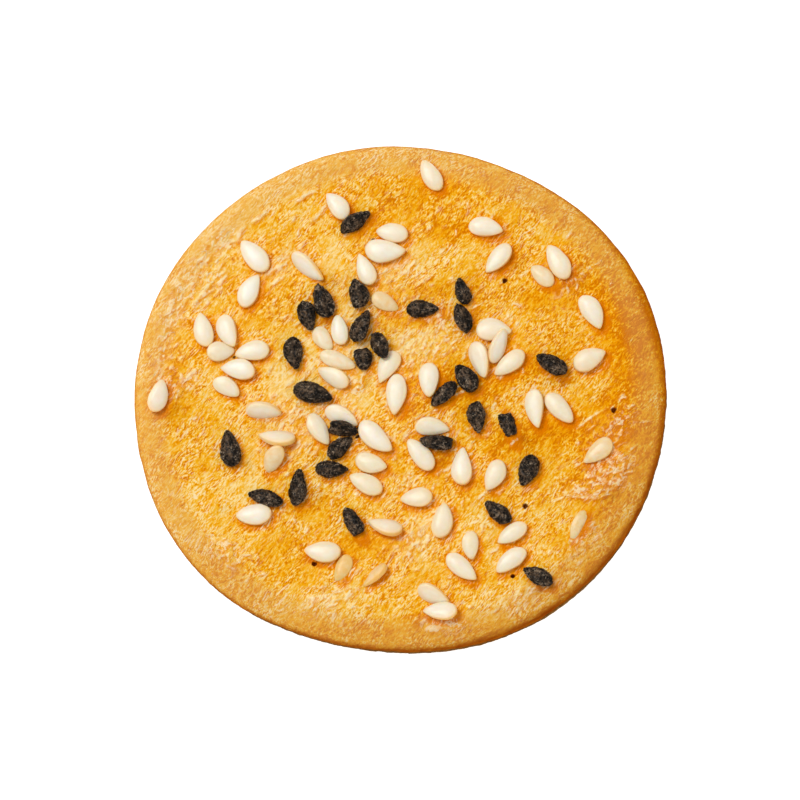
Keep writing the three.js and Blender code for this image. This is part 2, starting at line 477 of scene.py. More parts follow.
PLEATS = (
    Pleat((-20.0, 8.7), (-17.4, 12.0), -0.15, 0.5, 0.19),
    Pleat((-17.4, 10.4), (-15.8, 12.3), 0.2, 0.4, 0.12),
    Pleat((-13.3, 11.3), (-9.9, 13.2), 0.2, 0.42, 0.14),
    Pleat((-12.6, 10.7), (-10.6, 12.0), -0.2, 0.36, 0.09),
    Pleat((-15.4, 14.7), (-14.3, 16.9), 0.25, 0.45, 0.14),
    Pleat((-14.2, 16.8), (-12.2, 18.4), -0.2, 0.42, 0.14),
    Pleat((-10.2, 18.3), (-7.4, 20.0), 0.25, 0.4, 0.14),
    Pleat((-8.6, 16.6), (-6.6, 19.2), -0.2, 0.42, 0.14),
    Pleat((-20.6, 1.6), (-18.6, 3.0), 0.15, 0.4, 0.11),
    Pleat((16.6, -3.6), (20.2, -1.2), 0.2, 0.34, 0.09),
    Pleat((18.6, -5.6), (21.2, -8.6), 0.35, 0.4, 0.14),
    Pleat((19.4, -4.8), (21.9, -7.4), 0.35, 0.4, 0.12),
    Pleat((17.6, -7.6), (20.6, -9.2), 0.2, 0.36, 0.11),
    Pleat((14.6, -9.4), (20.4, -9.9), -0.4, 0.34, 0.09),
    Pleat((16.2, -8.2), (19.4, -10.4), -0.3, 0.34, 0.09),
    Pleat((-4.8, 3.4), (-1.8, 5.9), 0.1, 0.36, 0.11),
    Pleat((7.2, -10.4), (9.4, -8.6), 0.1, 0.34, 0.09),
)

# Where the top browned in the oven. The patches at (-21.8, -0.6), (-7.0, 7.4),
# (4.0, -6.0), (-8.4, -9.6), (-14.8, -6.2), (-2.6, 8.4), (16.3, 11.4) and
# (10.4, 12.6) are painted shade beside seeds instead.
BROWNINGS_AND_SEED_SHADE = (
    Patch(19.9, -9.8, 1.1, 0.6, 30, 0.3),
    Patch(18.4, -12.0, 1.1, 0.6, 70, 0.15),
    Patch(11.2, -14.2, 1.0, 0.6, 50, 0.15),
    Patch(13.8, -18.6, 1.4, 0.5, 10, 0.35),
    Patch(15.6, 1.2, 1.2, 0.5, 10, 0.4),
    Patch(-6.6, 10.6, 0.8, 1.6, 0, 0.35),
    Patch(11.8, -4.4, 1.0, 0.8, 0, 0.25),
    Patch(-21.8, -0.6, 1.8, 1.2, 90, 0.32),
    Patch(-7.0, 7.4, 1.0, 0.9, 0, 0.3),
    Patch(4.0, -6.0, 1.3, 1.1, 0, 0.28),
    Patch(-8.4, -9.6, 1.3, 0.9, 0, 0.3),
    Patch(16.3, 11.4, 1.5, 1.2, 0, 0.25),
    Patch(10.4, 12.6, 1.4, 0.9, 0, 0.25),
    Patch(-14.8, -6.2, 1.0, 1.0, 0, 0.2),
    Patch(-4.0, 16.4, 1.2, 0.8, 0, 0.25),
    Patch(-2.6, 8.4, 2.0, 0.7, 90, 0.2),
    Patch(-12.2, -2.4, 1.2, 0.8, 0, 0.2),
)


@dataclass(frozen=True)
class Pit:
    """A docker pit in the top: a small round blind hole, in millimetres."""

    x: float
    y: float
    diameter: float

    def distance(self, x: float, y: float) -> float:
        """Returns how far a place lies from the pit's middle."""
        return math.hypot(x - self.x, y - self.y)


PITS = (
    Pit(10.1, 10.9, 0.5),
    Pit(-2.4, 14.9, 0.45),
    Pit(20.4, -1.7, 0.5),
    Pit(-8.0, -16.0, 0.5),
    Pit(12.0, -10.8, 0.5),
    Pit(10.8, -17.4, 0.4),
)


# -------------------------------------------------------------- the form

@dataclass(frozen=True)
class Lobe:
    """One of the slow waves that take the outline off a circle."""

    count: int
    depth: float
    crest: float


@dataclass(frozen=True)
class Swell:
    """One of the slow waves that the bake raised in the top."""

    height: float
    spacing: float
    heading: float
    start: float


@dataclass
class BiscuitForm:
    """The solid form of the biscuit, in millimetres, as the frame's part has it.

    A place on its skin is given by the distance `along` the section, from the
    middle of the top out over the shoulder and down the side, and by the
    angle round the biscuit.
    """

    mean_radius: float = 24.8
    base_edge_radius: float = 0.55
    side_lean: float = 0.35
    waist_height: float = 2.3
    shoulder_height: float = 3.5
    shoulder_depth: float = 2.1
    edge_thickness: float = 4.75
    rim_rise: float = 0.16
    rim_inset: float = 3.4
    rim_width: float = 1.7
    dome_rise: float = 0.5
    dome_radius: float = 23.0
    lobes: tuple[Lobe, ...] = (
        Lobe(count=2, depth=0.53, crest=-5),
        Lobe(count=3, depth=0.05, crest=85),
        Lobe(count=4, depth=0.16, crest=34),
        Lobe(count=5, depth=0.08, crest=16),
        Lobe(count=6, depth=0.05, crest=38),
    )
    swells: tuple[Swell, ...] = (
        Swell(height=0.09, spacing=21, heading=35, start=3),
        Swell(height=0.07, spacing=14, heading=118, start=-2),
        Swell(height=0.05, spacing=9.5, heading=-20, start=1.5),
        Swell(height=0.035, spacing=6.5, heading=72, start=0.8),
    )
    shift: Vector = field(default_factory=lambda: Vector((0.0, 0.0)))
    egg_below_shoulder: float = 0.6

    SLOPE_STEP: ClassVar[float] = 0.05

    def __post_init__(self) -> None:
        """Works out how far along the section each of its stretches ends."""
        self.top_reach = self.mean_radius - self.shoulder_depth
        rise = self.top(self.shoulder_depth) - self.shoulder_height
        bend = math.sqrt((self.shoulder_depth ** 2 + rise ** 2) / 2)
        self.shoulder_reach = self.top_reach + math.pi / 2 * bend
        self.side_reach = self.shoulder_reach + self.shoulder_height - self.base_edge_radius
        self.skin_reach = self.side_reach + math.pi / 2 * self.base_edge_radius

    def centre_on(self, low: Vector, high: Vector) -> None:
        """Shifts the form so that its box lies over the frame's solid.

        Args:
            low: The lowest corner of the solid's box, in metres.
            high: Its highest corner.
        """
        angles = [math.radians(step) for step in range(360)]
        places = (
            [self.outline(angle) * math.cos(angle) for angle in angles],
            [self.outline(angle) * math.sin(angle) for angle in angles],
        )
        for axis in range(2):
            middle = (low[axis] + high[axis]) / 2 / MILLIMETRE
            self.shift[axis] = middle - (min(places[axis]) + max(places[axis])) / 2

    def outline(self, angle: float) -> float:
        """Finds how far the outline lies from the middle in a direction.

        Args:
            angle: The direction, in radians.

        Returns:
            The distance, in millimetres.
        """
        return self.mean_radius + sum(
            lobe.depth * math.cos(lobe.count * (angle - math.radians(lobe.crest)))
            for lobe in self.lobes
        )

    def swell(self, x: float, y: float) -> float:
        """Adds up the bake's swells at a place.

        Args:
            x: How far the place lies from the middle along X.
            y: How far it lies from the middle along Y.

        Returns:
            The height that they add to the top, in millimetres.
        """
        height = 0.0
        for swell in self.swells:
            along, _ = turned(x, y, swell.heading)
            height += swell.height * math.cos(math.tau * (along - swell.start) / swell.spacing)
        return height

    def top(self, inset: float) -> float:
        """Finds the height of the even top, without the swells.

        Args:
            inset: How far inside the outline, in millimetres.

        Returns:
            The height, in millimetres.
        """
        from_middle = min((self.mean_radius - inset) / self.dome_radius, 1.0)
        dome = self.dome_rise * (1.0 - from_middle ** 2)
        rim = self.rim_rise * hump(inset - self.rim_inset, self.rim_width)
        return self.edge_thickness + dome + rim

    def section(self, along: float) -> tuple[float, float]:
        """Follows the section from the middle of the top to the base.

        Args:
            along: The distance along the section.

        Returns:
            The distance from the biscuit's axis and the height.
        """
        if along <= self.top_reach:
            return along, self.top(self.mean_radius - along)
        if along <= self.shoulder_reach:
            share = (along - self.top_reach) / (self.shoulder_reach - self.top_reach)
            turn = (1.0 - share) * math.pi / 2
            inset = self.shoulder_depth * (1.0 - math.cos(turn))
            top = self.top(self.shoulder_depth)
            return self.mean_radius - inset, blend(self.shoulder_height, top, math.sin(turn))
        if along <= self.side_reach:
            height = self.shoulder_height - (along - self.shoulder_reach)
            drop = max(self.waist_height - height, 0.0)
            below_waist = drop / (self.waist_height - self.base_edge_radius)
            return self.mean_radius - self.side_lean * below_waist ** 2, height
        turn = min((along - self.side_reach) / self.base_edge_radius, math.pi / 2)
        inset = self.side_lean + self.base_edge_radius * (1.0 - math.cos(turn))
        return self.mean_radius - inset, self.base_edge_radius * (1.0 - math.sin(turn))

    def skin(self, along: float, angle: float) -> tuple[Vector, Vector]:
        """Finds a place on the skin.

        Args:
            along: The distance along the section, from the middle of the top.
            angle: The direction round the biscuit, in radians.

        Returns:
            The point, and the direction that points straight out of the skin.
        """
        radius, height = self.section(along)
        near_radius, near_height = self.section(max(along - self.SLOPE_STEP, 0.0))
        far_radius, far_height = self.section(along + self.SLOPE_STEP)
        outward = Vector((near_height - far_height, far_radius - near_radius)).normalized()
        stretch = self.outline(angle) / self.mean_radius
        cosine, sine = math.cos(angle), math.sin(angle)
        x, y = radius * stretch * cosine, radius * stretch * sine
        upper = ease(self.waist_height, self.edge_thickness, height)
        height += upper * self.swell(x, y)
        point = Vector((x + self.shift.x, y + self.shift.y, height))
        return point, Vector((outward.x * cosine, outward.x * sine, outward.y))

    def along_at(self, x: float, y: float) -> tuple[float, float]:
        """Finds where on the skin a place on the top lies.

        Args:
            x: The place along X.
            y: The place along Y.

        Returns:
            The distance along the section, and the angle in radians.
        """
        x, y = x - self.shift.x, y - self.shift.y
        angle = math.atan2(y, x)
        return math.hypot(x, y) * self.mean_radius / self.outline(angle), angle

    def glaze_reach(self, angle: float) -> float:
        """Finds how far the egg ran down the section before it dried.

        Args:
            angle: The direction, in radians.

        Returns:
            The distance along the section, in millimetres.
        """
        cosine, sine = math.cos(angle), math.sin(angle)
        slow = noise.noise(Vector((cosine * 4.0, sine * 4.0, 7.0)))
        quick = noise.noise(Vector((cosine * 22.0, sine * 22.0, 3.0)))
        return self.shoulder_reach + self.egg_below_shoulder + 0.7 * slow + 0.25 * quick


# -------------------------------------------------------------- finishes

class NodeDesk:
    """A material's node tree, with one short call for each kind of node used."""

    def __init__(self, name: str) -> None:
        """Starts a material with a principled shader on its output.

        Args:
            name: The material's name.
        """
        self.material = bpy.data.materials.new(name)
        self.material.use_nodes = True
        self.tree = self.material.node_tree
        self.tree.nodes.clear()
        self.shader = self.node("BsdfPrincipled")
        self.node("OutputMaterial", Surface=self.shader.outputs["BSDF"])
        self.place = self.node("TexCoord").outputs["Object"]

    def node(self, kind: str, **inputs: object) -> bpy.types.Node:
        """Adds a node.

        Args:
            kind: The node's type, without the word ShaderNode.
            inputs: What feeds its inputs, named with _ for each space.

        Returns:
            The node.
        """
        node = self.tree.nodes.new("ShaderNode" + kind)
        self.feed_all(node, inputs)
        return node

    def feed(self, target: Socket, value: object) -> None:
        """Links a socket to another, or sets it if the value is a plain one.

        Args:
            target: The socket.
            value: Another socket, or a number, vector or colour.
        """
        if isinstance(value, bpy.types.NodeSocket):
            self.tree.links.new(value, target)
        elif isinstance(value, tuple) and target.type == "RGBA":
            target.default_value = (*value, 1.0)
        else:
            target.default_value = value

    def feed_all(self, node: bpy.types.Node, inputs: dict[str, object]) -> None:
        """Feeds a node's inputs, named with _ for each space."""
        for name, value in inputs.items():
            self.feed(node.inputs[name.replace("_", " ")], value)

    def dress(self, **inputs: object) -> bpy.types.Material:
        """Feeds the shader's inputs and returns the finished material."""
        self.feed_all(self.shader, inputs)
        return self.material

    def attribute(self, name: str) -> Socket:
        """Reads a number that the mesh carries on its points.

        Args:
            name: The number's name.

        Returns:
            The number.
        """
        node = self.node("Attribute")
        node.attribute_name = name
        return node.outputs["Fac"]

    def brushed(self, place: Socket, heading: float, stretch: float) -> Socket:
        """Turns and squeezes a place, so that a pattern on it runs in streaks.

        Args:
            place: The place that the pattern would read.
            heading: The direction of the streaks, in degrees from +X.
            stretch: How much longer than wide the streaks are.

        Returns:
            The place to give to the pattern.
        """
        turn = self.node("Mapping", Vector=place, Rotation=(0.0, 0.0, -math.radians(heading)))
        turned_place, squeezed = turn.outputs["Vector"], (1.0 / stretch, 1.0, 1.0)
        return self.node("Mapping", Vector=turned_place, Scale=squeezed).outputs["Vector"]

    def blobs(self, size: float, place: Socket, detail: float) -> bpy.types.Node:
        """Makes a noise node.

        Args:
            size: How far apart its blobs are, in millimetres.
            place: Where to read it.
            detail: How many finer layers it has.

        Returns:
            The node.
        """
        return self.node("TexNoise", Vector=place, Scale=1.0 / (size * MILLIMETRE), Detail=detail)

    def wander(self, size: float, reach: float) -> Socket:
        """Pushes the place about, so that patterns on it wander.

        Args:
            size: How far apart the pushes change, in millimetres.
            reach: How far they push, in millimetres.

        Returns:
            The place to give to a pattern.
        """
        cloud = self.blobs(size, self.place, 1.0)
        push = self.node("VectorMath")
        push.operation = "MULTIPLY_ADD"
        self.feed(push.inputs[0], cloud.outputs["Color"])
        push.inputs[1].default_value = (reach * MILLIMETRE,) * 3
        self.feed(push.inputs[2], self.place)
        return push.outputs["Vector"]

    def cloud(
        self, size: float, place: Socket | None = None, detail: float = 3.0, roughness: float = 0.55
    ) -> Socket:
        """Makes soft noise.

        Args:
            size: How far apart its blobs are, in millimetres.
            place: Where to read it, if not at the plain place.
            detail: How many finer layers it has.
            roughness: How strong the finer layers are.

        Returns:
            The noise, mostly 0.3 to 0.7.
        """
        node = self.blobs(size, place or self.place, detail)
        node.inputs["Roughness"].default_value = roughness
        return node.outputs["Fac"]

    def worms(self, size: float, place: Socket, width: float) -> Socket:
        """Returns thin wandering lines: 1 on a line, and 0 away from it.

        Args:
            size: How far apart the lines lie, in millimetres.
            place: Where to read them.
            width: How wide they are, as a share of their spacing.
        """
        away = self.work("ABSOLUTE", self.work("SUBTRACT", self.cloud(size, place, 1.0), 0.5))
        return self.range(away, 0.4 * width, 0.0)

    def range(
        self, value: Socket, low: float, high: float, to_low: float = 0.0, to_high: float = 1.0
    ) -> Socket:
        """Moves a value from one range to another, smoothly and within limits.

        Args:
            value: The value.
            low: The start of its own range.
            high: The end of its own range.
            to_low: The start of the other range.
            to_high: The end of the other range.

        Returns:
            The moved value.
        """
        node = self.node(
            "MapRange", Value=value, From_Min=low, From_Max=high, To_Min=to_low, To_Max=to_high
        )
        node.interpolation_type = "SMOOTHSTEP"
        return node.outputs["Result"]

    def work(self, operation: str, *values: object) -> Socket:
        """Does one piece of arithmetic.

        Args:
            operation: The Math node's name for it.
            values: What it works on.

        Returns:
            The result.
        """
        node = self.node("Math")
        node.operation = operation
        for target, value in zip(node.inputs, values):
            self.feed(target, value)
        return node.outputs["Value"]

    def times(self, first: object, second: object) -> Socket:
        """Returns one value multiplied by another."""
        return self.work("MULTIPLY", first, second)

    def tint(self, share: Socket, first: object, second: object) -> Socket:
        """Goes from one colour to another.

        Args:
            share: How far to go, from 0 to 1.
            first: The colour at 0.
            second: The colour at 1.

        Returns:
            The colour.
        """
        node = self.node("Mix")
        node.data_type = "RGBA"
        factor, colours = node.inputs[0], [s for s in node.inputs if s.type == "RGBA"]
        self.feed(factor, share)
        self.feed(colours[0], first)
        self.feed(colours[1], second)
        return next(s for s in node.outputs if s.type == "RGBA")

    def palette(self, value: Socket, *stops: tuple[float, Colour]) -> Socket:
        """Picks a colour from a row of colours.

        Args:
            value: The value, from 0 to 1.
            stops: Each colour's place in the row, and the colour.

        Returns:
            The colour.
        """
        node = self.node("ValToRGB", Fac=value)
        ramp = node.color_ramp
        while len(ramp.elements) < len(stops):
            ramp.elements.new(1.0)
        for element, (position, colour) in zip(ramp.elements, stops):
            element.position = position
            element.color = (*colour, 1.0)
        return node.outputs["Color"]

    def relief(self, height: Socket, depth: float, under: Socket | None = None) -> Socket:
        """Makes fine relief.

        Args:
            height: The relief's height, from 0 to 1.
            depth: What a height of 1 stands for, in millimetres.
            under: Relief that this one lies on, if any.

        Returns:
            The lean that it gives the surface.
        """
        node = self.node("Bump", Height=height, Distance=depth * MILLIMETRE)
        if under is not None:
            self.feed(node.inputs["Normal"], under)
        return node.outputs["Normal"]


@dataclass(frozen=True)
class DoughFinish:
    """Bare baked dough: matt, brown and finely mottled."""

    # The tones are darker than the dough's own, partly as painted shade for the side wall.
    pale: Colour = tone(152, 106, 50)
    dark: Colour = tone(110, 74, 32)
    toasted: Colour = tone(84, 52, 18)

    def material(self) -> bpy.types.Material:
        """Makes the dough's material.

        Returns:
            The material.
        """
        desk = NodeDesk("baked_dough")
        crumb = desk.cloud(0.5, detail=5.0, roughness=0.7)
        dough = desk.tint(desk.range(crumb, 0.36, 0.64), self.dark, self.pale)
        toast = desk.times(desk.attribute("toast"), desk.range(crumb, 0.2, 0.7, 1.0, 0.7))
        return desk.dress(
            Base_Color=desk.tint(toast, dough, self.toasted),
            Roughness=0.9,
            Specular_IOR_Level=0.0,
            Normal=desk.relief(desk.cloud(0.14, detail=3.0, roughness=0.65), 0.03),
        )


class GlazeDesk(NodeDesk):
    """The glaze's node tree, with the patterns that its colours and its relief share."""

    def __init__(self) -> None:
        """Lays out the brush's strokes, the folds across them and the finest grain."""
        super().__init__("egg_glaze")
        self.crinkle, self.load = self.attribute("crinkle"), self.attribute("egg")
        # Where shade is painted round seeds and beside pleats.
        self.painted_shade = self.attribute("painted_shade")
        self.wandering = self.wander(size=3.2, reach=1.6)
        self.strokes = self.brushed(self.wandering, BRUSH_HEADING, stretch=3.4)
        self.folds = self.brushed(self.wander(size=0.9, reach=0.5), BRUSH_HEADING + 4.0, stretch=2.2)
        self.streaks = self.cloud(0.62, self.strokes, detail=1.0)
        self.bristles = self.cloud(0.2, self.strokes, detail=1.0)
        self.grit = self.cloud(0.14, self.folds, detail=1.0)
        self.waves = self.cloud(0.34, self.folds, detail=1.0)
        self.coarse = self.worms(0.8, self.folds, 0.17)
        self.fine = self.worms(0.4, self.folds, 0.2)
        busy = self.range(self.cloud(2.6, detail=1.0), 0.36, 0.64, 0.6, 1.3)
        self.busy = self.times(busy, self.range(self.crinkle, 0.2, 0.9, 1.0, 0.5))
        self.thin = self.times(self.range(self.load, 0.9, 0.35, 0.1, 1.2), self.busy)


@dataclass(frozen=True)
class GlazeFinish:
    """Brushed egg, baked dry: golden where it is thick and pale where it is thin."""

    # The cream of crests and strokes: partly thin egg, partly painted highlight.
    cream: Colour = tone(255, 235, 190)
    crumb: Colour = tone(238, 184, 112)
    bare: Colour = tone(254, 224, 160)
    pale: Colour = tone(250, 207, 112)
    tan: Colour = tone(246, 193, 76)
    yellow: Colour = tone(246, 181, 38)
    golden: Colour = tone(242, 167, 10)
    rich: Colour = tone(236, 150, 2)
    scorched: Colour = tone(216, 121, 0)
    # The orange of the shade painted round seeds and pleats.
    shade_orange: Colour = tone(232, 126, 0)
    toasted: Colour = tone(142, 64, 8)

    def material(self) -> bpy.types.Material:
        """Makes the egg glaze's material.

        Returns:
            The material.
        """
        desk = GlazeDesk()
        egg = self.fold(desk, self.spread(desk, self.thickness(desk)))
        # Colour browned by the oven, partly painted shade: the rim's band and line, and some patches
        # beside seeds.
        browning_and_shade = desk.range(desk.streaks, 0.25, 0.75, 0.7)
        browning_and_shade = desk.times(desk.attribute("toast"), browning_and_shade)
        crisp, glossy = self.skin(desk)
        return desk.dress(
            Base_Color=desk.tint(browning_and_shade, egg, self.toasted),
            Roughness=0.6,
            Specular_IOR_Level=0.0,
            Normal=crisp,
            Coat_Weight=desk.range(desk.crinkle, 0.15, 0.9, 0.0, 0.4),
            Coat_Roughness=0.1,
            Coat_Normal=glossy,
        )

    def thickness(self, desk: GlazeDesk) -> Socket:
        """Lays the brush's loads of egg, broken up by bristles and bake, and thickens
        it where shade is painted round seeds and pleats.

        Args:
            desk: The glaze's nodes.

        Returns:
            How thick the egg is, painted shade included, mostly 0.2 to 2.
        """
        dabs = desk.range(desk.cloud(0.22, desk.folds, detail=1.0), 0.44, 0.58)
        mottle = desk.cloud(0.4, desk.wandering, detail=1.0)
        grain = desk.work("ADD", desk.times(dabs, -0.4), -1.6)
        for share, pattern in ((1.2, desk.bristles), (0.4, mottle), (2.0, desk.grit)):
            grain = desk.work("MULTIPLY_ADD", pattern, share, grain)
        thickness = desk.load
        for share, pattern in ((1.2, desk.streaks), (0.45, desk.painted_shade), (desk.busy, grain)):
            thickness = desk.work("MULTIPLY_ADD", pattern, share, thickness)
        return thickness

    def spread(self, desk: GlazeDesk, thickness: Socket) -> Socket:
        """Colours the egg by its thickness, with its rim, painted bare glints and
        the orange shade painted round seeds and pleats.

        Args:
            desk: The glaze's nodes.
            thickness: How thick the egg is.

        Returns:
            The colour.
        """
        egg = desk.palette(
            desk.range(thickness, 0.21, 1.99),
            (0.0, self.bare), (0.18, self.pale), (0.34, self.tan), (0.5, self.yellow),
            (0.66, self.golden), (0.82, self.rich), (1.0, self.scorched),
        )
        # The rim's dull tan: partly the rim's own tan, partly painted shade that tones the lit rim
        # down.
        egg = desk.tint(desk.attribute("rim"), egg, self.crumb)
        glint = desk.times(desk.range(desk.grit, 0.47, 0.3, 0.0, 0.5), desk.thin)
        egg = desk.tint(glint, egg, self.bare)
        # Painted shade: an orange tint round seeds and beside pleats.
        return desk.tint(desk.range(desk.painted_shade, 0.2, 1.0, 0.0, 0.5), egg, self.shade_orange)

    def fold(self, desk: GlazeDesk, egg: Socket) -> Socket:
        """Folds the egg: cream on the crests and strokes, partly thin egg and partly
        painted highlight, and rich gold in the hollows, partly thicker egg and partly painted shade.

        Args:
            desk: The glaze's nodes.
            egg: The egg's colour without folds.

        Returns:
            The colour with its folds.
        """
        # The hollows of the folds are tinted rich gold: partly thicker egg, partly painted shade.
        hollow_egg_and_shade = desk.times(desk.range(desk.waves, 0.5, 0.34), desk.crinkle)
        egg = desk.tint(desk.range(hollow_egg_and_shade, 0.0, 0.8, 0.0, 0.7), egg, self.rich)
        broken = desk.range(desk.cloud(0.6, desk.wandering, detail=1.0), 0.46, 0.6)
        combing = desk.brushed(desk.wandering, BRUSH_HEADING, stretch=8.0)
        combed = desk.range(desk.cloud(0.17, combing, detail=1.0), 0.56, 0.68, 0.0, 0.6)
        combed = desk.times(combed, desk.thin)
        # The folds' crests and the combed strokes are tinted cream: partly thin pale egg, partly
        # painted highlight.
        folded = desk.times(desk.work("MAXIMUM", desk.coarse, desk.fine), broken)
        pale_crest_and_glint = desk.work("MAXIMUM", folded, desk.range(desk.waves, 0.59, 0.7))
        pale_crest_and_glint = desk.times(pale_crest_and_glint, desk.crinkle)
        ragged = desk.range(broken, 0.0, 1.0, 0.45)
        crest = desk.times(desk.range(desk.attribute("crest"), 0.5, 1.0), ragged)
        pale_crest_and_glint = desk.work("MAXIMUM", desk.work("MAXIMUM", pale_crest_and_glint, crest), combed)
        return desk.tint(desk.range(pale_crest_and_glint, 0.1, 0.8, 0.0, 0.72), egg, self.cream)

    def skin(self, desk: GlazeDesk) -> tuple[Socket, Socket]:
        """Makes the egg's relief.

        Args:
            desk: The glaze's nodes.

        Returns:
            The relief of the egg, and of the shiny skin over it that shows every fold.
        """
        strength = desk.range(desk.crinkle, 0.0, 0.9, 0.45, 1.0)
        crisp = desk.relief(desk.work("ADD", desk.bristles, desk.grit), 0.06)
        for pattern, depth in ((desk.fine, 0.02), (desk.coarse, 0.03)):
            crisp = desk.relief(desk.times(pattern, strength), depth, crisp)
        return crisp, desk.relief(desk.times(desk.waves, strength), 0.08, crisp)


@dataclass(frozen=True)
class WhiteSeedFinish:
    """A hulled sesame seed: cream white, smooth, and faintly translucent."""

    palest: Colour = tone(249, 240, 225)
    cream: Colour = tone(243, 226, 194)
    amber: Colour = tone(238, 194, 112)
    tip: Colour = tone(236, 206, 150)
    warm_shade: Colour = tone(252, 196, 98)

    def material(self) -> bpy.types.Material:
        """Makes the white seeds' material.

        Returns:
            The material.
        """
        desk = NodeDesk("white_sesame")
        fleck = desk.range(desk.cloud(0.5), 0.3, 0.7, -0.1, 0.1)
        shade = desk.work("ADD", desk.attribute("shade"), fleck)
        hull = desk.palette(shade, (0.05, self.palest), (0.6, self.cream), (1.0, self.amber))
        tipward = desk.range(desk.attribute("tipward"), 0.72, 1.0, 0.0, 0.45)
        # Painted shade in the groove inside the margin.
        groove_shade = desk.range(desk.attribute("margin"), 0.0, 1.0, 0.0, 0.2)
        hull = desk.tint(desk.work("MAXIMUM", tipward, groove_shade), hull, self.tip)
        return desk.dress(
            # Painted warm shade and glow on the low flanks.
            Base_Color=desk.tint(desk.attribute("flank_shade"), hull, self.warm_shade),
            Roughness=0.36,
            Specular_IOR_Level=0.5,
            Subsurface_Weight=0.5,
            Subsurface_Radius=(1.0, 0.66, 0.34),
            Subsurface_Scale=0.6 * MILLIMETRE,
            Normal=desk.relief(desk.cloud(0.22, detail=2.0), 0.006),
        )


@dataclass(frozen=True)
class BlackSeedFinish:
    """Unhulled black sesame: matt, pitted, netted with ridges and painted highlight."""

    hollow: Colour = tone(7, 5, 3)
    # The ridge tint is partly the seed's own colour and partly painted highlight.
    ridge: Colour = tone(130, 104, 80)
    glint_tan: Colour = tone(218, 192, 164)
    brown: Colour = tone(112, 88, 64)

    def material(self) -> bpy.types.Material:
        """Makes the black seeds' material.

        Returns:
            The material.
        """
        desk = NodeDesk("black_sesame")
        ridge = desk.attribute("ridge")
        patchy = desk.range(desk.cloud(0.7), 0.38, 0.66, 0.1, 1.0)
        raised = desk.times(ridge, patchy)
        browned = desk.times(desk.range(desk.attribute("shade"), 0.45, 1.0, 0.0, 0.6), raised)
        hull = desk.tint(browned, desk.tint(raised, self.hollow, self.ridge), self.brown)
        netting = desk.worms(0.3, desk.wander(size=0.4, reach=0.1), 0.2)
        # Painted highlight: pale flecks along the netting.
        net_glint = desk.times(netting, desk.range(desk.cloud(0.5), 0.46, 0.64, 0.0, 0.45))
        pitting = desk.relief(desk.cloud(0.2, detail=1.0), 0.07)
        return desk.dress(
            Base_Color=desk.tint(net_glint, hull, self.glint_tan),
            Roughness=0.3,
            Specular_IOR_Level=0.15,
            Normal=desk.relief(netting, 0.06, pitting),
        )


# ---------------------------------------------------------------- pieces

def take_mesh(bm: bmesh.types.BMesh, name: str) -> bpy.types.Mesh:
    """Turns a shaped mesh into mesh data, and frees it.

    Args:
        bm: The shaped mesh.
        name: The data's name.

    Returns:
        The data.
    """
    mesh = bpy.data.meshes.new(name)
    bm.to_mesh(mesh)
    bm.free()
    return mesh


def put(name: str, data: bpy.types.ID) -> bpy.types.Object:
    """Puts a new object into the scene.

    Args:
        name: The object's name.
        data: What it shows.

    Returns:
        The object.
    """
    piece = bpy.data.objects.new(name, data)
    bpy.context.collection.objects.link(piece)
    return piece


def finish_piece(
    bm: bmesh.types.BMesh, name: str, material: bpy.types.Material
) -> bpy.types.Object:
    """Turns a shaped mesh into a finished piece that rides on the biscuit.

    Args:
        bm: The shaped mesh, in millimetres and in place. It is freed.
        name: The piece's name.
        material: The finish.

    Returns:
        The new object, in metres, at the origin.
    """
    bmesh.ops.recalc_face_normals(bm, faces=bm.faces)
    bmesh.ops.scale(bm, vec=Vector((MILLIMETRE,) * 3), verts=bm.verts)
    mesh = take_mesh(bm, name)
    mesh.shade_smooth()
    mesh.materials.append(material)
    piece = put(name, mesh)
    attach(piece, "root")
    triangles = sum(len(face.vertices) - 2 for face in mesh.polygons)
    log.info("%s: %d triangles", name, triangles)
    return piece


def tree_of(places: Sequence[tuple[float, float]]) -> KDTree:
    """Sorts places on the top for searching, each under its number in the row.

    Args:
        places: The places, in millimetres.

    Returns:
        The search tree.
    """
    tree = KDTree(len(places))
    for number, (x, y) in enumerate(places):
        tree.insert(Vector((x, y, 0.0)), number)
    tree.balance()
    return tree


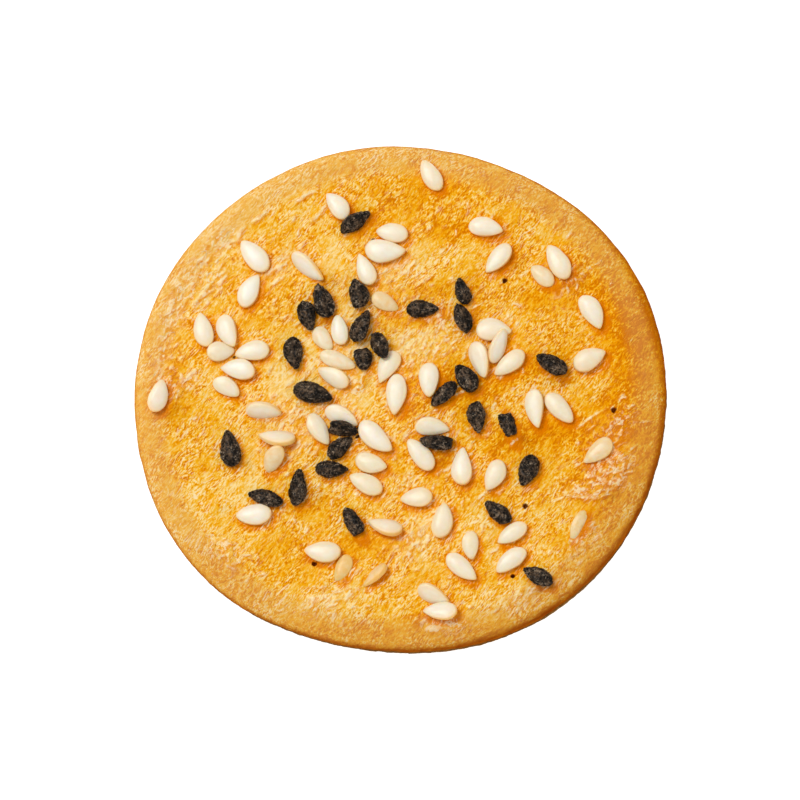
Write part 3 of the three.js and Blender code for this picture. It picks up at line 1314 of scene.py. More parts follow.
class SeedFinder:
    """Tells how the seeds press the glaze, and where shade is painted round them.

    The egg ran a little, so it pooled most on the side that `SHADE_RUN` points to.
    The glaze rises in a lip against each pressed seed, with a dimple round it.
    Round every seed a warm tint is painted as shade, offset to the side away
    from the lamp, and weaker where seeds crowd. `FLANK` is where the glaze
    meets a seed, as a share
    `COVERED_REACH`, which is a share of a covered seed's half size.
    """

    REACH: ClassVar[float] = 3.6
    SHADE_RUN: ClassVar[Vector] = Vector((0.32, -0.38))
    FLANK: ClassVar[float] = 0.92
    COVERED_RISE: ClassVar[float] = 0.26
    COVERED_REACH: ClassVar[float] = 0.85
    LIP_RISE: ClassVar[float] = 0.07
    LIP_REACH: ClassVar[float] = 0.2
    DIMPLE_DEPTH: ClassVar[float] = 0.09
    DIMPLE_REACH: ClassVar[float] = 0.75
    SHADE_REACH: ClassVar[float] = 0.36
    CROWD_REACH: ClassVar[float] = 0.7
    CROWD_SHARING: ClassVar[float] = 0.8

    def __init__(self, seeds: Sequence[Seed], covered: Sequence[Seed]) -> None:
        """Sorts the seeds by place.

        Args:
            seeds: The seeds that show.
            covered: The seeds that lie under the glaze.
        """
        self.seeds = [*seeds, *covered]
        self.covered_from = len(seeds)
        self.tree = tree_of([(seed.x, seed.y) for seed in self.seeds])

    def look(self, x: float, y: float) -> tuple[float, float]:
        """Looks at the seeds round a place.

        Args:
            x: The place along X.
            y: The place along Y.

        Returns:
            How far the glaze is raised there, and how much shade is painted there.
        """
        lift, painted_shade, crowd = 0.0, 0.0, 0.0
        for _, index, _ in self.tree.find_range(Vector((x, y, 0.0)), self.REACH):
            seed = self.seeds[index]
            out, gap = self.apart(seed, x, y)
            if index >= self.covered_from:
                lift += self.COVERED_RISE * hump(out, self.COVERED_REACH)
                continue
            if seed.pressed is not RESTING:
                lift += self.LIP_RISE * hump(gap, self.LIP_REACH)
                lift -= self.DIMPLE_DEPTH * hump(gap, self.DIMPLE_REACH)
            # Painted shade: a warm tint offset to the side away from the lamp.
            _, gap = self.apart(seed, x - self.SHADE_RUN.x, y - self.SHADE_RUN.y)
            painted_shade = max(painted_shade, hump(gap, self.SHADE_REACH))
            crowd += hump(gap, self.CROWD_REACH)
        return lift, painted_shade / max(crowd, 1.0) ** self.CROWD_SHARING

    def apart(self, seed: Seed, x: float, y: float) -> tuple[float, float]:
        """Measures how far a place lies from a seed.

        Args:
            seed: The seed.
            x: The place along X.
            y: The place along Y.

        Returns:
            How far out from the seed's middle the place is, with 1 at its
            edge, and the gap between the seed's flank and the place.
        """
        along, across = turned(x - seed.x, y - seed.y, seed.turn)
        half_length = seed.length / 2
        half_width = seed.width / 2 * math.cos(math.radians(seed.roll * 0.8))
        out = math.hypot(along / half_length, across / half_width)
        return out, max(out - self.FLANK, 0.0) * (half_width + half_length) / 2


@dataclass
class Skin:
    """A closed skin woven from grids: what the dough and its glaze have in common.

    A fine disc lies on top, rings hang from its edge, and a coarse disc closes
    it below. All of it has radius 1 until the skin is baked into its shape.
    """

    form: BiscuitForm
    top_cells: int = 180
    under_cells: int = 64
    rings: int = 16

    ATTRIBUTES: ClassVar[tuple[str, ...]] = ()

    def weave(self) -> bmesh.types.BMesh:
        """Weaves the flat closed skin, with its layers for the finish.

        Returns:
            The skin.
        """
        bm = bmesh.new()
        self.layers = {name: bm.verts.layers.float.new(name) for name in self.ATTRIBUTES}
        self.disc(bm, self.top_cells, 0.0)
        edge = [e for e in bm.edges if e.is_boundary]
        for _ in range(self.rings):
            made = bmesh.ops.extrude_edge_only(bm, edges=edge)["geom"]
            verts = [item for item in made if isinstance(item, bmesh.types.BMVert)]
            bmesh.ops.translate(bm, vec=Vector((0.0, 0.0, -1.0)), verts=verts)
            edge = [item for item in made if isinstance(item, bmesh.types.BMEdge) and item.is_boundary]
        self.disc(bm, self.under_cells, -self.rings - 1.0)
        bmesh.ops.bridge_loops(bm, edges=[e for e in bm.edges if e.is_boundary])
        return bm

    def disc(self, bm: bmesh.types.BMesh, cells: int, level: float) -> None:
        """Adds a disc of radius 1 bent from a square grid.

        Args:
            bm: The mesh to add it to.
            cells: The number of squares along each side of the grid.
            level: Its height.
        """
        grid = bmesh.ops.create_grid(bm, x_segments=cells, y_segments=cells, size=1.0)
        for vert in grid["verts"]:
            x, y = vert.co.x, vert.co.y
            vert.co = Vector((x * math.sqrt(1 - y * y / 2), y * math.sqrt(1 - x * x / 2), level))

    def places(self, bm: bmesh.types.BMesh) -> list[tuple[bmesh.types.BMVert, float, float, float]]:
        """Finds where each point of the flat skin lies.

        Args:
            bm: The skin.

        Returns:
            Each point with how far out it lies, its angle and how far below the top disc.
        """
        return [
            (v, math.hypot(v.co.x, v.co.y), math.atan2(v.co.y, v.co.x), -v.co.z) for v in bm.verts
        ]

    def sink(
        self, vert: bmesh.types.BMVert, place: Vector, depth: float, wide: float, deep: float
    ) -> None:
        """Sinks a point that lies under a docker pit, so that it doesn't fill the hole.

        Args:
            vert: The point.
            place: Its place on the skin.
            depth: How far it sinks below the middle of a pit.
            wide: How far from a pit's middle it starts to sink.
            deep: How far from the middle it is sunk in full.
        """
        for pit in PITS:
            vert.co.z -= depth * ease(wide, deep, pit.distance(place.x, place.y))

    def unevenness(self, point: Vector) -> float:
        """Returns the slow unevenness that dough and glaze share at a point."""
        return 0.05 * noise.fractal(point * 0.45, 0.8, 2.0, 3)


@dataclass
class BakedDough(Skin):
    """The biscuit under its glaze and seeds: a closed body of baked dough.

    Its top hides `under_glaze` below the true skin, and its side is bare.
    """

    under_glaze: float = 0.12
    grid_reach: float = 25.2
    pit_depth: float = 1.9
    pit_reach: float = 1.3
    pit_floor: float = 0.45
    base_share: float = 0.985
    base_roughness: float = 0.05
    grain_rise: float = 0.06
    pore_depth: float = 0.12

    ATTRIBUTES: ClassVar[tuple[str, ...]] = ("toast",)

    def build(self) -> bpy.types.Object:
        """Builds the dough, which stands for the frame's solid.

        Returns:
            The finished piece.
        """
        bm = self.weave()
        step = (self.form.skin_reach - self.grid_reach) / self.rings
        for vert, radius, angle, level in self.places(bm):
            if level > self.rings + 0.5:
                self.bake_base(vert, radius * self.base_share, angle)
            else:
                self.bake_skin(vert, radius * self.grid_reach + level * step, angle)
        piece = finish_piece(bm, "baked_dough", DoughFinish().material())
        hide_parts("biscuit")
        return piece

    def bake_base(self, vert: bmesh.types.BMVert, share: float, angle: float) -> None:
        """Places a point of the base, which is flat but for a slight roughness.

        Args:
            vert: The point.
            share: How far out it lies, from 0 to 1.
            angle: Its direction, in radians.
        """
        rim, _ = self.form.skin(self.form.skin_reach, angle)
        middle = Vector((self.form.shift.x, self.form.shift.y, 0.0))
        vert.co = middle.lerp(Vector((rim.x, rim.y, 0.0)), share)
        vert.co.z = self.base_roughness * max(noise.noise(vert.co * 0.8), 0.0)
        vert[self.layers["toast"]] = 0.35 * ease(-0.2, 0.4, noise.noise(vert.co * 0.25))

    def bake_skin(self, vert: bmesh.types.BMVert, along: float, angle: float) -> None:
        """Places a point of the top, shoulder or side.

        Args:
            vert: The point.
            along: Its distance along the section.
            angle: Its direction, in radians.
        """
        form = self.form
        point, outward = form.skin(along, angle)
        run = form.glaze_reach(angle)
        bare = ease(run - 0.5, run - 0.05, along)
        grain = self.grain_rise * noise.fractal(point * 1.6, 0.7, 2.0, 3)
        pore = self.pore_depth * hump(noise.voronoi(point * 0.9)[0][0], 0.16)
        lift = bare * (grain - pore) - (1.0 - bare) * self.under_glaze
        lift += self.unevenness(point)
        lift *= ease(form.skin_reach, form.side_reach, along)
        vert.co = point + outward * lift
        self.sink(vert, point, self.pit_depth, self.pit_reach, self.pit_floor)
        vert[self.layers["toast"]] = 0.95 * hump(max(along - run, 0.0), 0.5)


@dataclass
class EggCoat:
    """How the egg lies: its loads, crinkles, browned patches and painted shade."""

    loads: PatchMap = field(default_factory=lambda: PatchMap(EGG_LOADS_AND_SEED_SHADE))
    crinkles: PatchMap = field(default_factory=lambda: PatchMap(CRINKLES))
    brownings_and_shade: PatchMap = field(default_factory=lambda: PatchMap(BROWNINGS_AND_SEED_SHADE))

    def load(self, x: float, y: float) -> float:
        """Returns the egg at a place, with painted shade; 0.5 is the usual amount."""
        return 0.5 + 0.9 * self.loads.strength(x, y) + 0.12 * noise.noise(Vector((x, y, 31.0)) * 0.35)

    def crinkle(self, x: float, y: float) -> float:
        """Returns how strongly the egg puckered at a place, from 0 to 1."""
        everywhere = 0.08 + 0.2 * noise.noise(Vector((x, y, 0.0)) * 0.3)
        return min(everywhere + self.crinkles.strength(x, y), 1.0)

    def brown(self, x: float, y: float) -> float:
        """Returns how brown the top is at a place, from 0 to 1, painted shade included."""
        ragged = 1.0 + 1.2 * noise.noise(Vector((x, y, 5.0)) * 1.7)
        return self.brownings_and_shade.strength(x, y) * ragged


@dataclass(frozen=True)
class RimBake:
    """How the rim is darkened: in a band, and in a line near the film's edge.

    Both are partly browned by the oven and partly painted shade, and both are
    strongest at the `toast_and_shade_side`, which faces away from the lamp. The
    band is widest towards `widest_toast_and_shade` and the line towards
    `darkest_toast_and_shade`, all in degrees from +X. A dull tan is painted on
    the rest of the rim, most towards the lamp: partly the rim's own tan, partly
    painted shade that tones the lit rim down. Where they start and are full is
    in millimetres out from the top's end.
    """

    toast_and_shade_side: float = -40.0
    widest_toast_and_shade: float = 18.0
    darkest_toast_and_shade: float = -56.0
    band_start: float = 1.75
    broad_band_start: float = 0.75
    band_fade: float = 0.9
    rim_start: float = -1.5
    rim_full: float = 0.3
    line_start: float = 1.6
    line_full: float = 2.7

    def look(self, out: float, angle: float) -> tuple[float, float, float]:
        """Looks at one place near the rim.

        Args:
            out: How far out it lies from where the top ends.
            angle: Its direction, in radians.

        Returns:
            The egg that gathered there, how strongly it is tinted dull tan, and how
            brown it is; all three are partly painted shade.
        """
        side = 0.5 + 0.5 * math.cos(angle - math.radians(self.toast_and_shade_side))
        broad = self.facing(angle, self.widest_toast_and_shade) ** 8
        darkest = self.facing(angle, self.darkest_toast_and_shade) ** 4
        start = blend(self.band_start, self.broad_band_start, broad)
        band = ease(start, start + self.band_fade, out) * blend(0.1, 1.0, max(side, broad))
        rim = ease(self.rim_start, self.rim_full, out) * (1.0 - band)
        line = ease(self.line_start - 0.5 * darkest, self.line_full - 0.3 * darkest, out)
        line *= blend(0.5, 1.0, side)
        egg = 0.6 * band + 0.12 * side * rim + 0.4 * line
        brown = 0.34 * band + blend(0.1, 0.2, side) * rim + 0.72 * line
        return egg, blend(0.36, 0.2, side) * rim, brown

    def facing(self, angle: float, heading: float) -> float:
        """Returns how squarely a direction faces a heading, from 0 to 1."""
        return max(math.cos(angle - math.radians(heading)), 0.0)


class PleatMap:
    """The egg's long pleats and the many short ones round them."""

    REACH: ClassVar[float] = 0.5
    SPREAD: ClassVar[float] = 0.6
    FAVOURED_HEADING: ClassVar[float] = 50.0

    def __init__(self, form: BiscuitForm, short: int = 620) -> None:
        """Lays the pleats out.

        Args:
            form: The biscuit's form.
            short: How many short pleats there are.
        """
        draw = random.Random(5)
        pleats = [*PLEATS, *(self.pucker(form, draw) for _ in range(short))]
        self.crests = [(pleat, strength) for pleat in pleats for _, _, strength in pleat.line()]
        self.tree = tree_of([(x, y) for pleat in pleats for x, y, _ in pleat.line()])

    def pucker(self, form: BiscuitForm, draw: random.Random) -> Pleat:
        """Draws one short pleat in one of the crinkled patches, mostly along it.

        Args:
            form: The biscuit's form.
            draw: The source of random draws.

        Returns:
            The pleat.
        """
        while True:
            patch = draw.choices(CRINKLES, [p.long * p.wide * p.amount for p in CRINKLES])[0]
            along = draw.gauss(0.0, self.SPREAD) * patch.long
            across = draw.gauss(0.0, self.SPREAD) * patch.wide
            x, y = turned(along, across, -patch.heading)
            x, y = x + patch.x, y + patch.y
            if form.along_at(x, y)[0] < form.top_reach + 0.6:
                break
        heading = blend(patch.heading, self.FAVOURED_HEADING, 0.4) + draw.gauss(0.0, 24.0)
        heading = math.radians(heading)
        reach = draw.uniform(0.25, 0.7)
        run, rise = reach * math.cos(heading), reach * math.sin(heading)
        ends = (x - run, y - rise), (x + run, y + rise)
        return Pleat(*ends, draw.gauss(0.0, 0.14), draw.uniform(0.24, 0.34), draw.uniform(0.06, 0.12))

    def look(self, x: float, y: float) -> tuple[float, float, float]:
        """Looks at the pleats at a place.

        Args:
            x: The place along X.
            y: The place along Y.

        Returns:
            How far they raise the glaze there, how much of a crest it is, from
            -1 in the furrow beside a pleat to 1 on its crest, and how much shade
            is painted on its lee side, away from the lamp, from 0 to 1.
        """
        raised, crest, painted_shade = 0.0, 0.0, 0.0
        here, down = Vector((x, y, 0.0)), SeedFinder.SHADE_RUN.normalized().to_3d()
        for place, index, distance in self.tree.find_range(here, self.REACH):
            pleat, strength = self.crests[index]
            raised = max(raised, strength * pleat.height * hump(distance, pleat.width * 0.72))
            furrow = strength * hump(distance - pleat.width * 0.75, pleat.width * 0.35)
            crest = max(crest, strength * hump(distance, pleat.width * 0.6)) or min(crest, -furrow)
            # Painted shade on the side of each pleat that faces away from the lamp.
            lee = max((here - place).dot(down), 0.0) / max(distance, 0.01)
            painted_shade = max(painted_shade, lee * strength * hump(distance - pleat.width * 0.6, pleat.width * 0.4))
        return raised, crest, painted_shade


@dataclass
class EggGlaze(Skin):
    """The film of baked egg over the top, down to its uneven edge on the side."""

    coat: EggCoat = field(default_factory=EggCoat)
    bake: RimBake = RimBake()
    seeds: Sequence[Seed] = ()
    top_cells: int = 294
    under_cells: int = 72
    rings: int = 2
    film: float = 0.06
    film_taper: float = 0.5
    tuck_depth: float = 0.09
    pit_depth: float = 0.62
    pit_dimple: float = 0.06
    pit_ragged: float = 0.12
    tuck_pit_share: float = 1.6
    tuck_pit_reach: float = 1.0
    tuck_pit_floor: float = 0.4
    brush_heading: float = BRUSH_HEADING

    ATTRIBUTES: ClassVar[tuple[str, ...]] = ("egg", "crinkle", "crest", "rim", "painted_shade", "toast")

    def build(self) -> tuple[bpy.types.Object, BVHTree]:
        """Builds the glaze.

        Returns:
            The finished piece, and its surface in millimetres for the seeds
            to be laid on.
        """
        bm = self.weave()
        self.refine_pits(bm)
        finder = SeedFinder(self.seeds, COVERED_SEEDS)
        self.pleats = PleatMap(self.form)
        for vert, radius, angle, level in self.places(bm):
            run = self.form.glaze_reach(angle)
            far = blend(self.form.shoulder_reach, run, ease(0.85, 1.0, radius))
            if level > 0.5:
                self.tuck(vert, radius * (run - 0.1), angle, level)
            else:
                self.brush(vert, radius * far, angle, run, finder)
        surface = BVHTree.FromBMesh(bm)
        return finish_piece(bm, "egg_glaze", GlazeFinish().material()), surface

    def refine_pits(self, bm: bmesh.types.BMesh) -> None:
        """Divides the squares round each docker pit, so that its wall comes out round.

        Args:
            bm: The flat skin.
        """
        for pit in PITS:
            along, angle = self.form.along_at(pit.x, pit.y)
            share = along / self.form.shoulder_reach
            middle = Vector((share * math.cos(angle), share * math.sin(angle), 0.0))
            reach = 1.2 * pit.diameter / self.form.shoulder_reach
            near = {
                edge
                for vert in bm.verts
                if (vert.co - middle).length < reach
                for edge in vert.link_edges
            }
            bmesh.ops.subdivide_edges(bm, edges=list(near), cuts=3, use_grid_fill=True)

    def tuck(self, vert: bmesh.types.BMVert, along: float, angle: float, level: float) -> None:
        """Places a point of the film's hidden back, inside the dough.

        Args:
            vert: The point.
            along: Its distance along the section.
            angle: Its direction, in radians.
            level: How many rings it lies below the film's edge.
        """
        point, outward = self.form.skin(along, angle)
        vert.co = point - outward * (self.tuck_depth * level)
        depth = self.pit_depth * self.tuck_pit_share
        self.sink(vert, point, depth, self.tuck_pit_reach, self.tuck_pit_floor)

    def brush(
        self,
        vert: bmesh.types.BMVert,
        along: float,
        angle: float,
        run: float,
        finder: SeedFinder,
    ) -> None:
        """Places a point of the film's face and says how it is finished there.

        Args:
            vert: The point.
            along: Its distance along the section.
            angle: Its direction, in radians.
            run: How far along the section the film reaches there.
            finder: Tells how near the seeds are.
        """
        form = self.form
        point, outward = form.skin(along, angle)
        x, y = point.x, point.y
        upper = ease(form.shoulder_reach + 0.4, form.top_reach, along)
        crinkle = self.coat.crinkle(x, y)
        press, painted_shade = finder.look(x, y)
        raised, crest, furrow = self.pleats.look(x, y)
        lift = self.puckers(point, crinkle) * blend(0.45, 1.0, upper) + (press + raised) * upper
        lift += self.film * ease(run, run - self.film_taper, along) + self.unevenness(point)
        vert.co = point + outward * lift
        pit_darkening = self.press_pits(vert, x, y)
        gathered, dull_tan, brown = self.bake.look(along - form.top_reach, angle)
        layers = self.layers
        # The pleats' crests get less egg and their furrows more: partly the egg's own spread, partly
        # painted highlight and painted shade. The rim's gathered egg is partly painted shade.
        vert[layers["egg"]] = self.coat.load(x, y) - 0.5 * crest + gathered
        vert[layers["crinkle"]] = max(crinkle, 0.9 * crest) * upper
        vert[layers["crest"]] = crest * upper
        vert[layers["rim"]] = dull_tan
        # Painted shade round seeds and on the lee side of pleats, which the pleats' third value,
        # furrow, holds.
        vert[layers["painted_shade"]] = max(painted_shade, 0.9 * furrow * upper)
        # Colour browned by the oven, partly painted shade in the rim's band and line and in patches
        # beside seeds; the pits are coloured darker.
        vert[layers["toast"]] = min(brown + pit_darkening + self.coat.brown(x, y), 1.0)

    def press_pits(self, vert: bmesh.types.BMVert, x: float, y: float) -> float:
        """Presses the docker pits into the film.

        Args:
            vert: The point to press.
            x: Its place on the skin along X, before the film was lifted.
            y: Its place along Y.

        Returns:
            How much darker the egg is coloured there: 1 in a pit and 0 away from all of them.
        """
        pit_darkening = 0.0
        for pit in PITS:
            distance, radius = pit.distance(x, y), pit.diameter / 2
            distance += self.pit_ragged * noise.noise(Vector((x, y, 2.0)) * 3.0)
            vert.co.z -= self.pit_depth * ease(radius * 1.05, radius * 0.55, distance)
            vert.co.z -= self.pit_dimple * hump(distance, radius * 2.4)
            pit_darkening += ease(radius * 1.25, radius * 0.8, distance)
        return pit_darkening

    def puckers(self, point: Vector, crinkle: float) -> float:
        """Finds the dried egg's fine puckers at a point.

        Args:
            point: The place on the skin.
            crinkle: How crinkled the egg is there, from 0 to 1.

        Returns:
            Their height, in millimetres.
        """
        drift = Vector((noise.noise(point * 0.31), noise.noise(point * 0.31 + Vector((9, 4, 2))), 0))
        wandered = point + drift * 2.2
        along, across = turned(wandered.x, wandered.y, self.brush_heading)
        coarse = 1.0 - 2.2 * abs(noise.noise(Vector((along * 0.62, across * 1.55, point.z))))
        fine = 1.0 - 2.0 * abs(noise.noise(Vector((along * 1.1 + 5.0, across * 2.3, point.z))))
        furrow = noise.noise(Vector((along * 0.16, across * 0.85, 3.0)))
        return (0.034 * coarse + 0.022 * fine) * blend(0.3, 1.35, crinkle) + 0.02 * furrow


@dataclass
class SeedBed:
    """What seeds come to rest on: the glaze, and the seeds already laid."""

    ground: BVHTree
    steepest: float = 24.0
    laid: list[tuple[Vector, float, BVHTree]] = field(default_factory=list)

    SKY: ClassVar[float] = 30.0  # a height above everything, in millimetres

    def height(self, x: float, y: float) -> float:
        """Finds how high whatever lies highest at a place is.

        Args:
            x: The place along X.
            y: The place along Y.

        Returns:
            The height, in millimetres.
        """
        start, down = Vector((x, y, self.SKY)), Vector((0.0, 0.0, -1.0))
        trees = [tree for at, reach, tree in self.laid if math.hypot(x - at.x, y - at.y) < reach]
        hits = [tree.ray_cast(start, down)[0] for tree in (self.ground, *trees)]
        return max(hit.z for hit in hits if hit is not None)

    def settle(self, bm: bmesh.types.BMesh, seed: Seed) -> None:
        """Lets a seed come to rest and then presses it in.

        The seed leans until its two ends, and then its two sides, touch what
        is under them, but never by more than `steepest` degrees.

        Args:
            bm: The seed's mesh, level and over its place.
            seed: The seed.
        """
        middle = Vector((seed.x, seed.y, 0.0))
        below = [vert for vert in bm.verts if vert.co.z < 0.0][::2]
        for heading, reach in ((seed.turn, seed.length), (seed.turn + 90.0, seed.width)):
            touches = {True: (-math.inf, 0.0), False: (-math.inf, 0.0)}
            for vert in below:
                along, _ = turned(vert.co.x - seed.x, vert.co.y - seed.y, heading)
                rise = self.height(vert.co.x, vert.co.y) - vert.co.z
                touches[along > 0.0] = max(touches[along > 0.0], (rise, along))
            (far_rise, far), (near_rise, near) = touches[True], touches[False]
            lean = math.atan2(far_rise - near_rise, max(far - near, reach * 0.35))
            lean = max(min(lean, math.radians(self.steepest)), -math.radians(self.steepest))
            hinge = math.radians(heading)
            axis = Vector((math.sin(hinge), -math.cos(hinge), 0.0))
            turn = Matrix.Rotation(lean, 3, axis)
            bmesh.ops.rotate(bm, cent=middle, matrix=turn, verts=bm.verts)
        rise = max(self.height(vert.co.x, vert.co.y) - vert.co.z for vert in below)
        drop = Vector((0.0, 0.0, rise - seed.pressed.value))
        bmesh.ops.translate(bm, vec=drop, verts=bm.verts)
        self.laid.append((middle, seed.length * 0.6, BVHTree.FromBMesh(bm)))


@dataclass(frozen=True)
class Hull:
    """How one seed grew, as shares of a ball of radius 1 unless it says otherwise.

    `taper` says how slim its tip is, and `neck` how late it narrows: about
    1.5 early and 3 late. `bluntness` makes the tip fuller, `roundness` below 1
    makes the flat sides fuller, and `bend` is in millimetres.
    """

    taper: float
    neck: float
    bluntness: float
    roundness: float
    bend: float

    WIDEST: ClassVar[float] = 0.42

    def outline(self, tipward: float) -> float:
        """Returns how much it narrows at a place along it, with 1 at its widest.

        Args:
            tipward: The place, from -1 at the heel to 1 at the tip.
        """
        share = (tipward + 1.0) / 2
        return (1.0 - self.taper * share ** self.neck) / (1.0 - self.taper * self.WIDEST ** self.neck)

    def place(self, ball: Vector, lump: float, half: tuple[float, float, float]) -> Vector:
        """Moves a point of the ball to the seed.

        Args:
            ball: The point on the ball.
            lump: How far it bulges there, with 1 for not at all.
            half: Half the seed's length, width and thickness, in millimetres.

        Returns:
            The point on the seed, which lies along X, in millimetres.
        """
        tipward, side, rise = ball
        outline = self.outline(tipward)
        fuller = self.bluntness * (1.0 - tipward ** 2) * ((1.0 + tipward) / 2) ** 2
        return Vector((
            (tipward + fuller) * half[0],
            side * outline * lump * half[1] + self.bend * tipward ** 2,
            math.copysign(abs(rise) ** self.roundness, rise) * outline ** 0.6 * lump * half[2],
        ))


@dataclass
class SesameSeeds:
    """All the seeds of one kind, joined into one piece.

    A seed is made from a ball of radius 1 whose poles lie along X, with its
    tip at +X. `thickness` is a share of its width.
    """

    seeds: Sequence[Seed]
    bed: SeedBed
    rows: int = 24
    columns: int = 44
    thickness: float = 0.5
    draw: random.Random = field(default_factory=lambda: random.Random(11))

    NAME: ClassVar[str] = "sesame_seeds"
    SLOT: ClassVar[str] = ""
    ATTRIBUTES: ClassVar[tuple[str, ...]] = ("shade",)

    def build(self) -> bpy.types.Object:
        """Shapes every seed and lays it to rest on the bed.

        Returns:
            The finished piece.
        """
        heap = bmesh.new()
        mould = bpy.data.meshes.new("mould")
        upright = Matrix.Rotation(math.pi / 2, 4, "Y")
        for seed in self.seeds:
            bm = bmesh.new()
            self.layers = {name: bm.verts.layers.float.new(name) for name in self.ATTRIBUTES}
            bmesh.ops.create_uvsphere(
                bm, u_segments=self.columns, v_segments=self.rows, radius=1.0, matrix=upright
            )
            self.shape(bm.verts, seed)
            place = (
                Matrix.Translation((seed.x, seed.y, 0.0))
                @ Matrix.Rotation(math.radians(seed.turn), 4, "Z")
                @ Matrix.Rotation(math.radians(seed.roll), 4, "X")
            )
            bmesh.ops.transform(bm, matrix=place, verts=bm.verts)
            self.bed.settle(bm, seed)
            bm.to_mesh(mould)
            bm.free()
            heap.from_mesh(mould)
        bpy.data.meshes.remove(mould)
        return finish_piece(heap, self.NAME, self.finish().material())

    def thick(self, seed: Seed) -> float:
        """Draws how thick a seed is, in millimetres."""
        return seed.width * self.thickness * self.draw.uniform(0.9, 1.1)

    def seat(self) -> Vector:
        """Draws where in the noise a seed reads its lumps."""
        return Vector([self.draw.uniform(0, 90) for _ in range(3)])

    def shape(self, verts: bmesh.types.BMVertSeq, seed: Seed) -> None:
        """Shapes one seed from a ball."""
        raise NotImplementedError

    def finish(self) -> WhiteSeedFinish | BlackSeedFinish:
        """Returns the seeds' finish."""
        raise NotImplementedError


@dataclass
class WhiteSeeds(SesameSeeds):
    """The hulled seeds: smooth cream pillows with a soft margin."""

    margin_rise: float = 0.05
    groove_depth: float = 0.035
    lumpiness: float = 0.06

    NAME: ClassVar[str] = "white_sesame_seeds"
    SLOT: ClassVar[str] = "white_sesame"
    ATTRIBUTES: ClassVar[tuple[str, ...]] = ("shade", "tipward", "margin", "flank_shade")

    def shape(self, verts: bmesh.types.BMVertSeq, seed: Seed) -> None:
        """Shapes one seed from a ball.

        Args:
            verts: The ball's points.
            seed: The seed's sizes.
        """
        draw = self.draw
        taper, neck, bluntness = draw.uniform(0.5, 0.8), draw.uniform(1.5, 2.7), draw.uniform(0.16, 0.3)
        thick = self.thick(seed)
        hull = Hull(taper, neck, bluntness, 0.78, draw.uniform(-0.09, 0.09) * seed.width)
        seat = self.seat()
        for vert in verts:
            tipward, _, rise = vert.co
            lump = 1.0 + self.lumpiness * noise.noise(vert.co * 1.7 + seat)
            # A raised margin runs round the seed, with a shallow groove inside it.
            groove = hump(abs(rise) - 0.64, 0.15)
            margin = self.margin_rise * hump(abs(rise) - 0.3, 0.17) - self.groove_depth * groove
            half = (seed.length / 2 + margin * 0.5, seed.width / 2 + margin, thick / 2 + margin * 0.6)
            vert.co = hull.place(vert.co, lump, half)
            vert[self.layers["shade"]] = seed.shade
            vert[self.layers["tipward"]] = (tipward + 1.0) / 2
            # The groove is tinted darker in the finish, as painted shade.
            vert[self.layers["margin"]] = groove
            # Warm shade and glaze-coloured glow are painted on the seed's low flanks, most on the side
            # away from the lamp.
            away = Vector(turned(vert.co.x, vert.co.y, -seed.turn)) / seed.width * 2
            lee = max(min(away.dot(SeedFinder.SHADE_RUN.normalized()), 1.0), -1.0)
            vert[self.layers["flank_shade"]] = ease(0.75, 0.05, rise) * blend(0.4, 0.9, 0.5 + 0.5 * lee)

    def finish(self) -> WhiteSeedFinish:
        """Returns the white seeds' finish."""
        return WhiteSeedFinish()


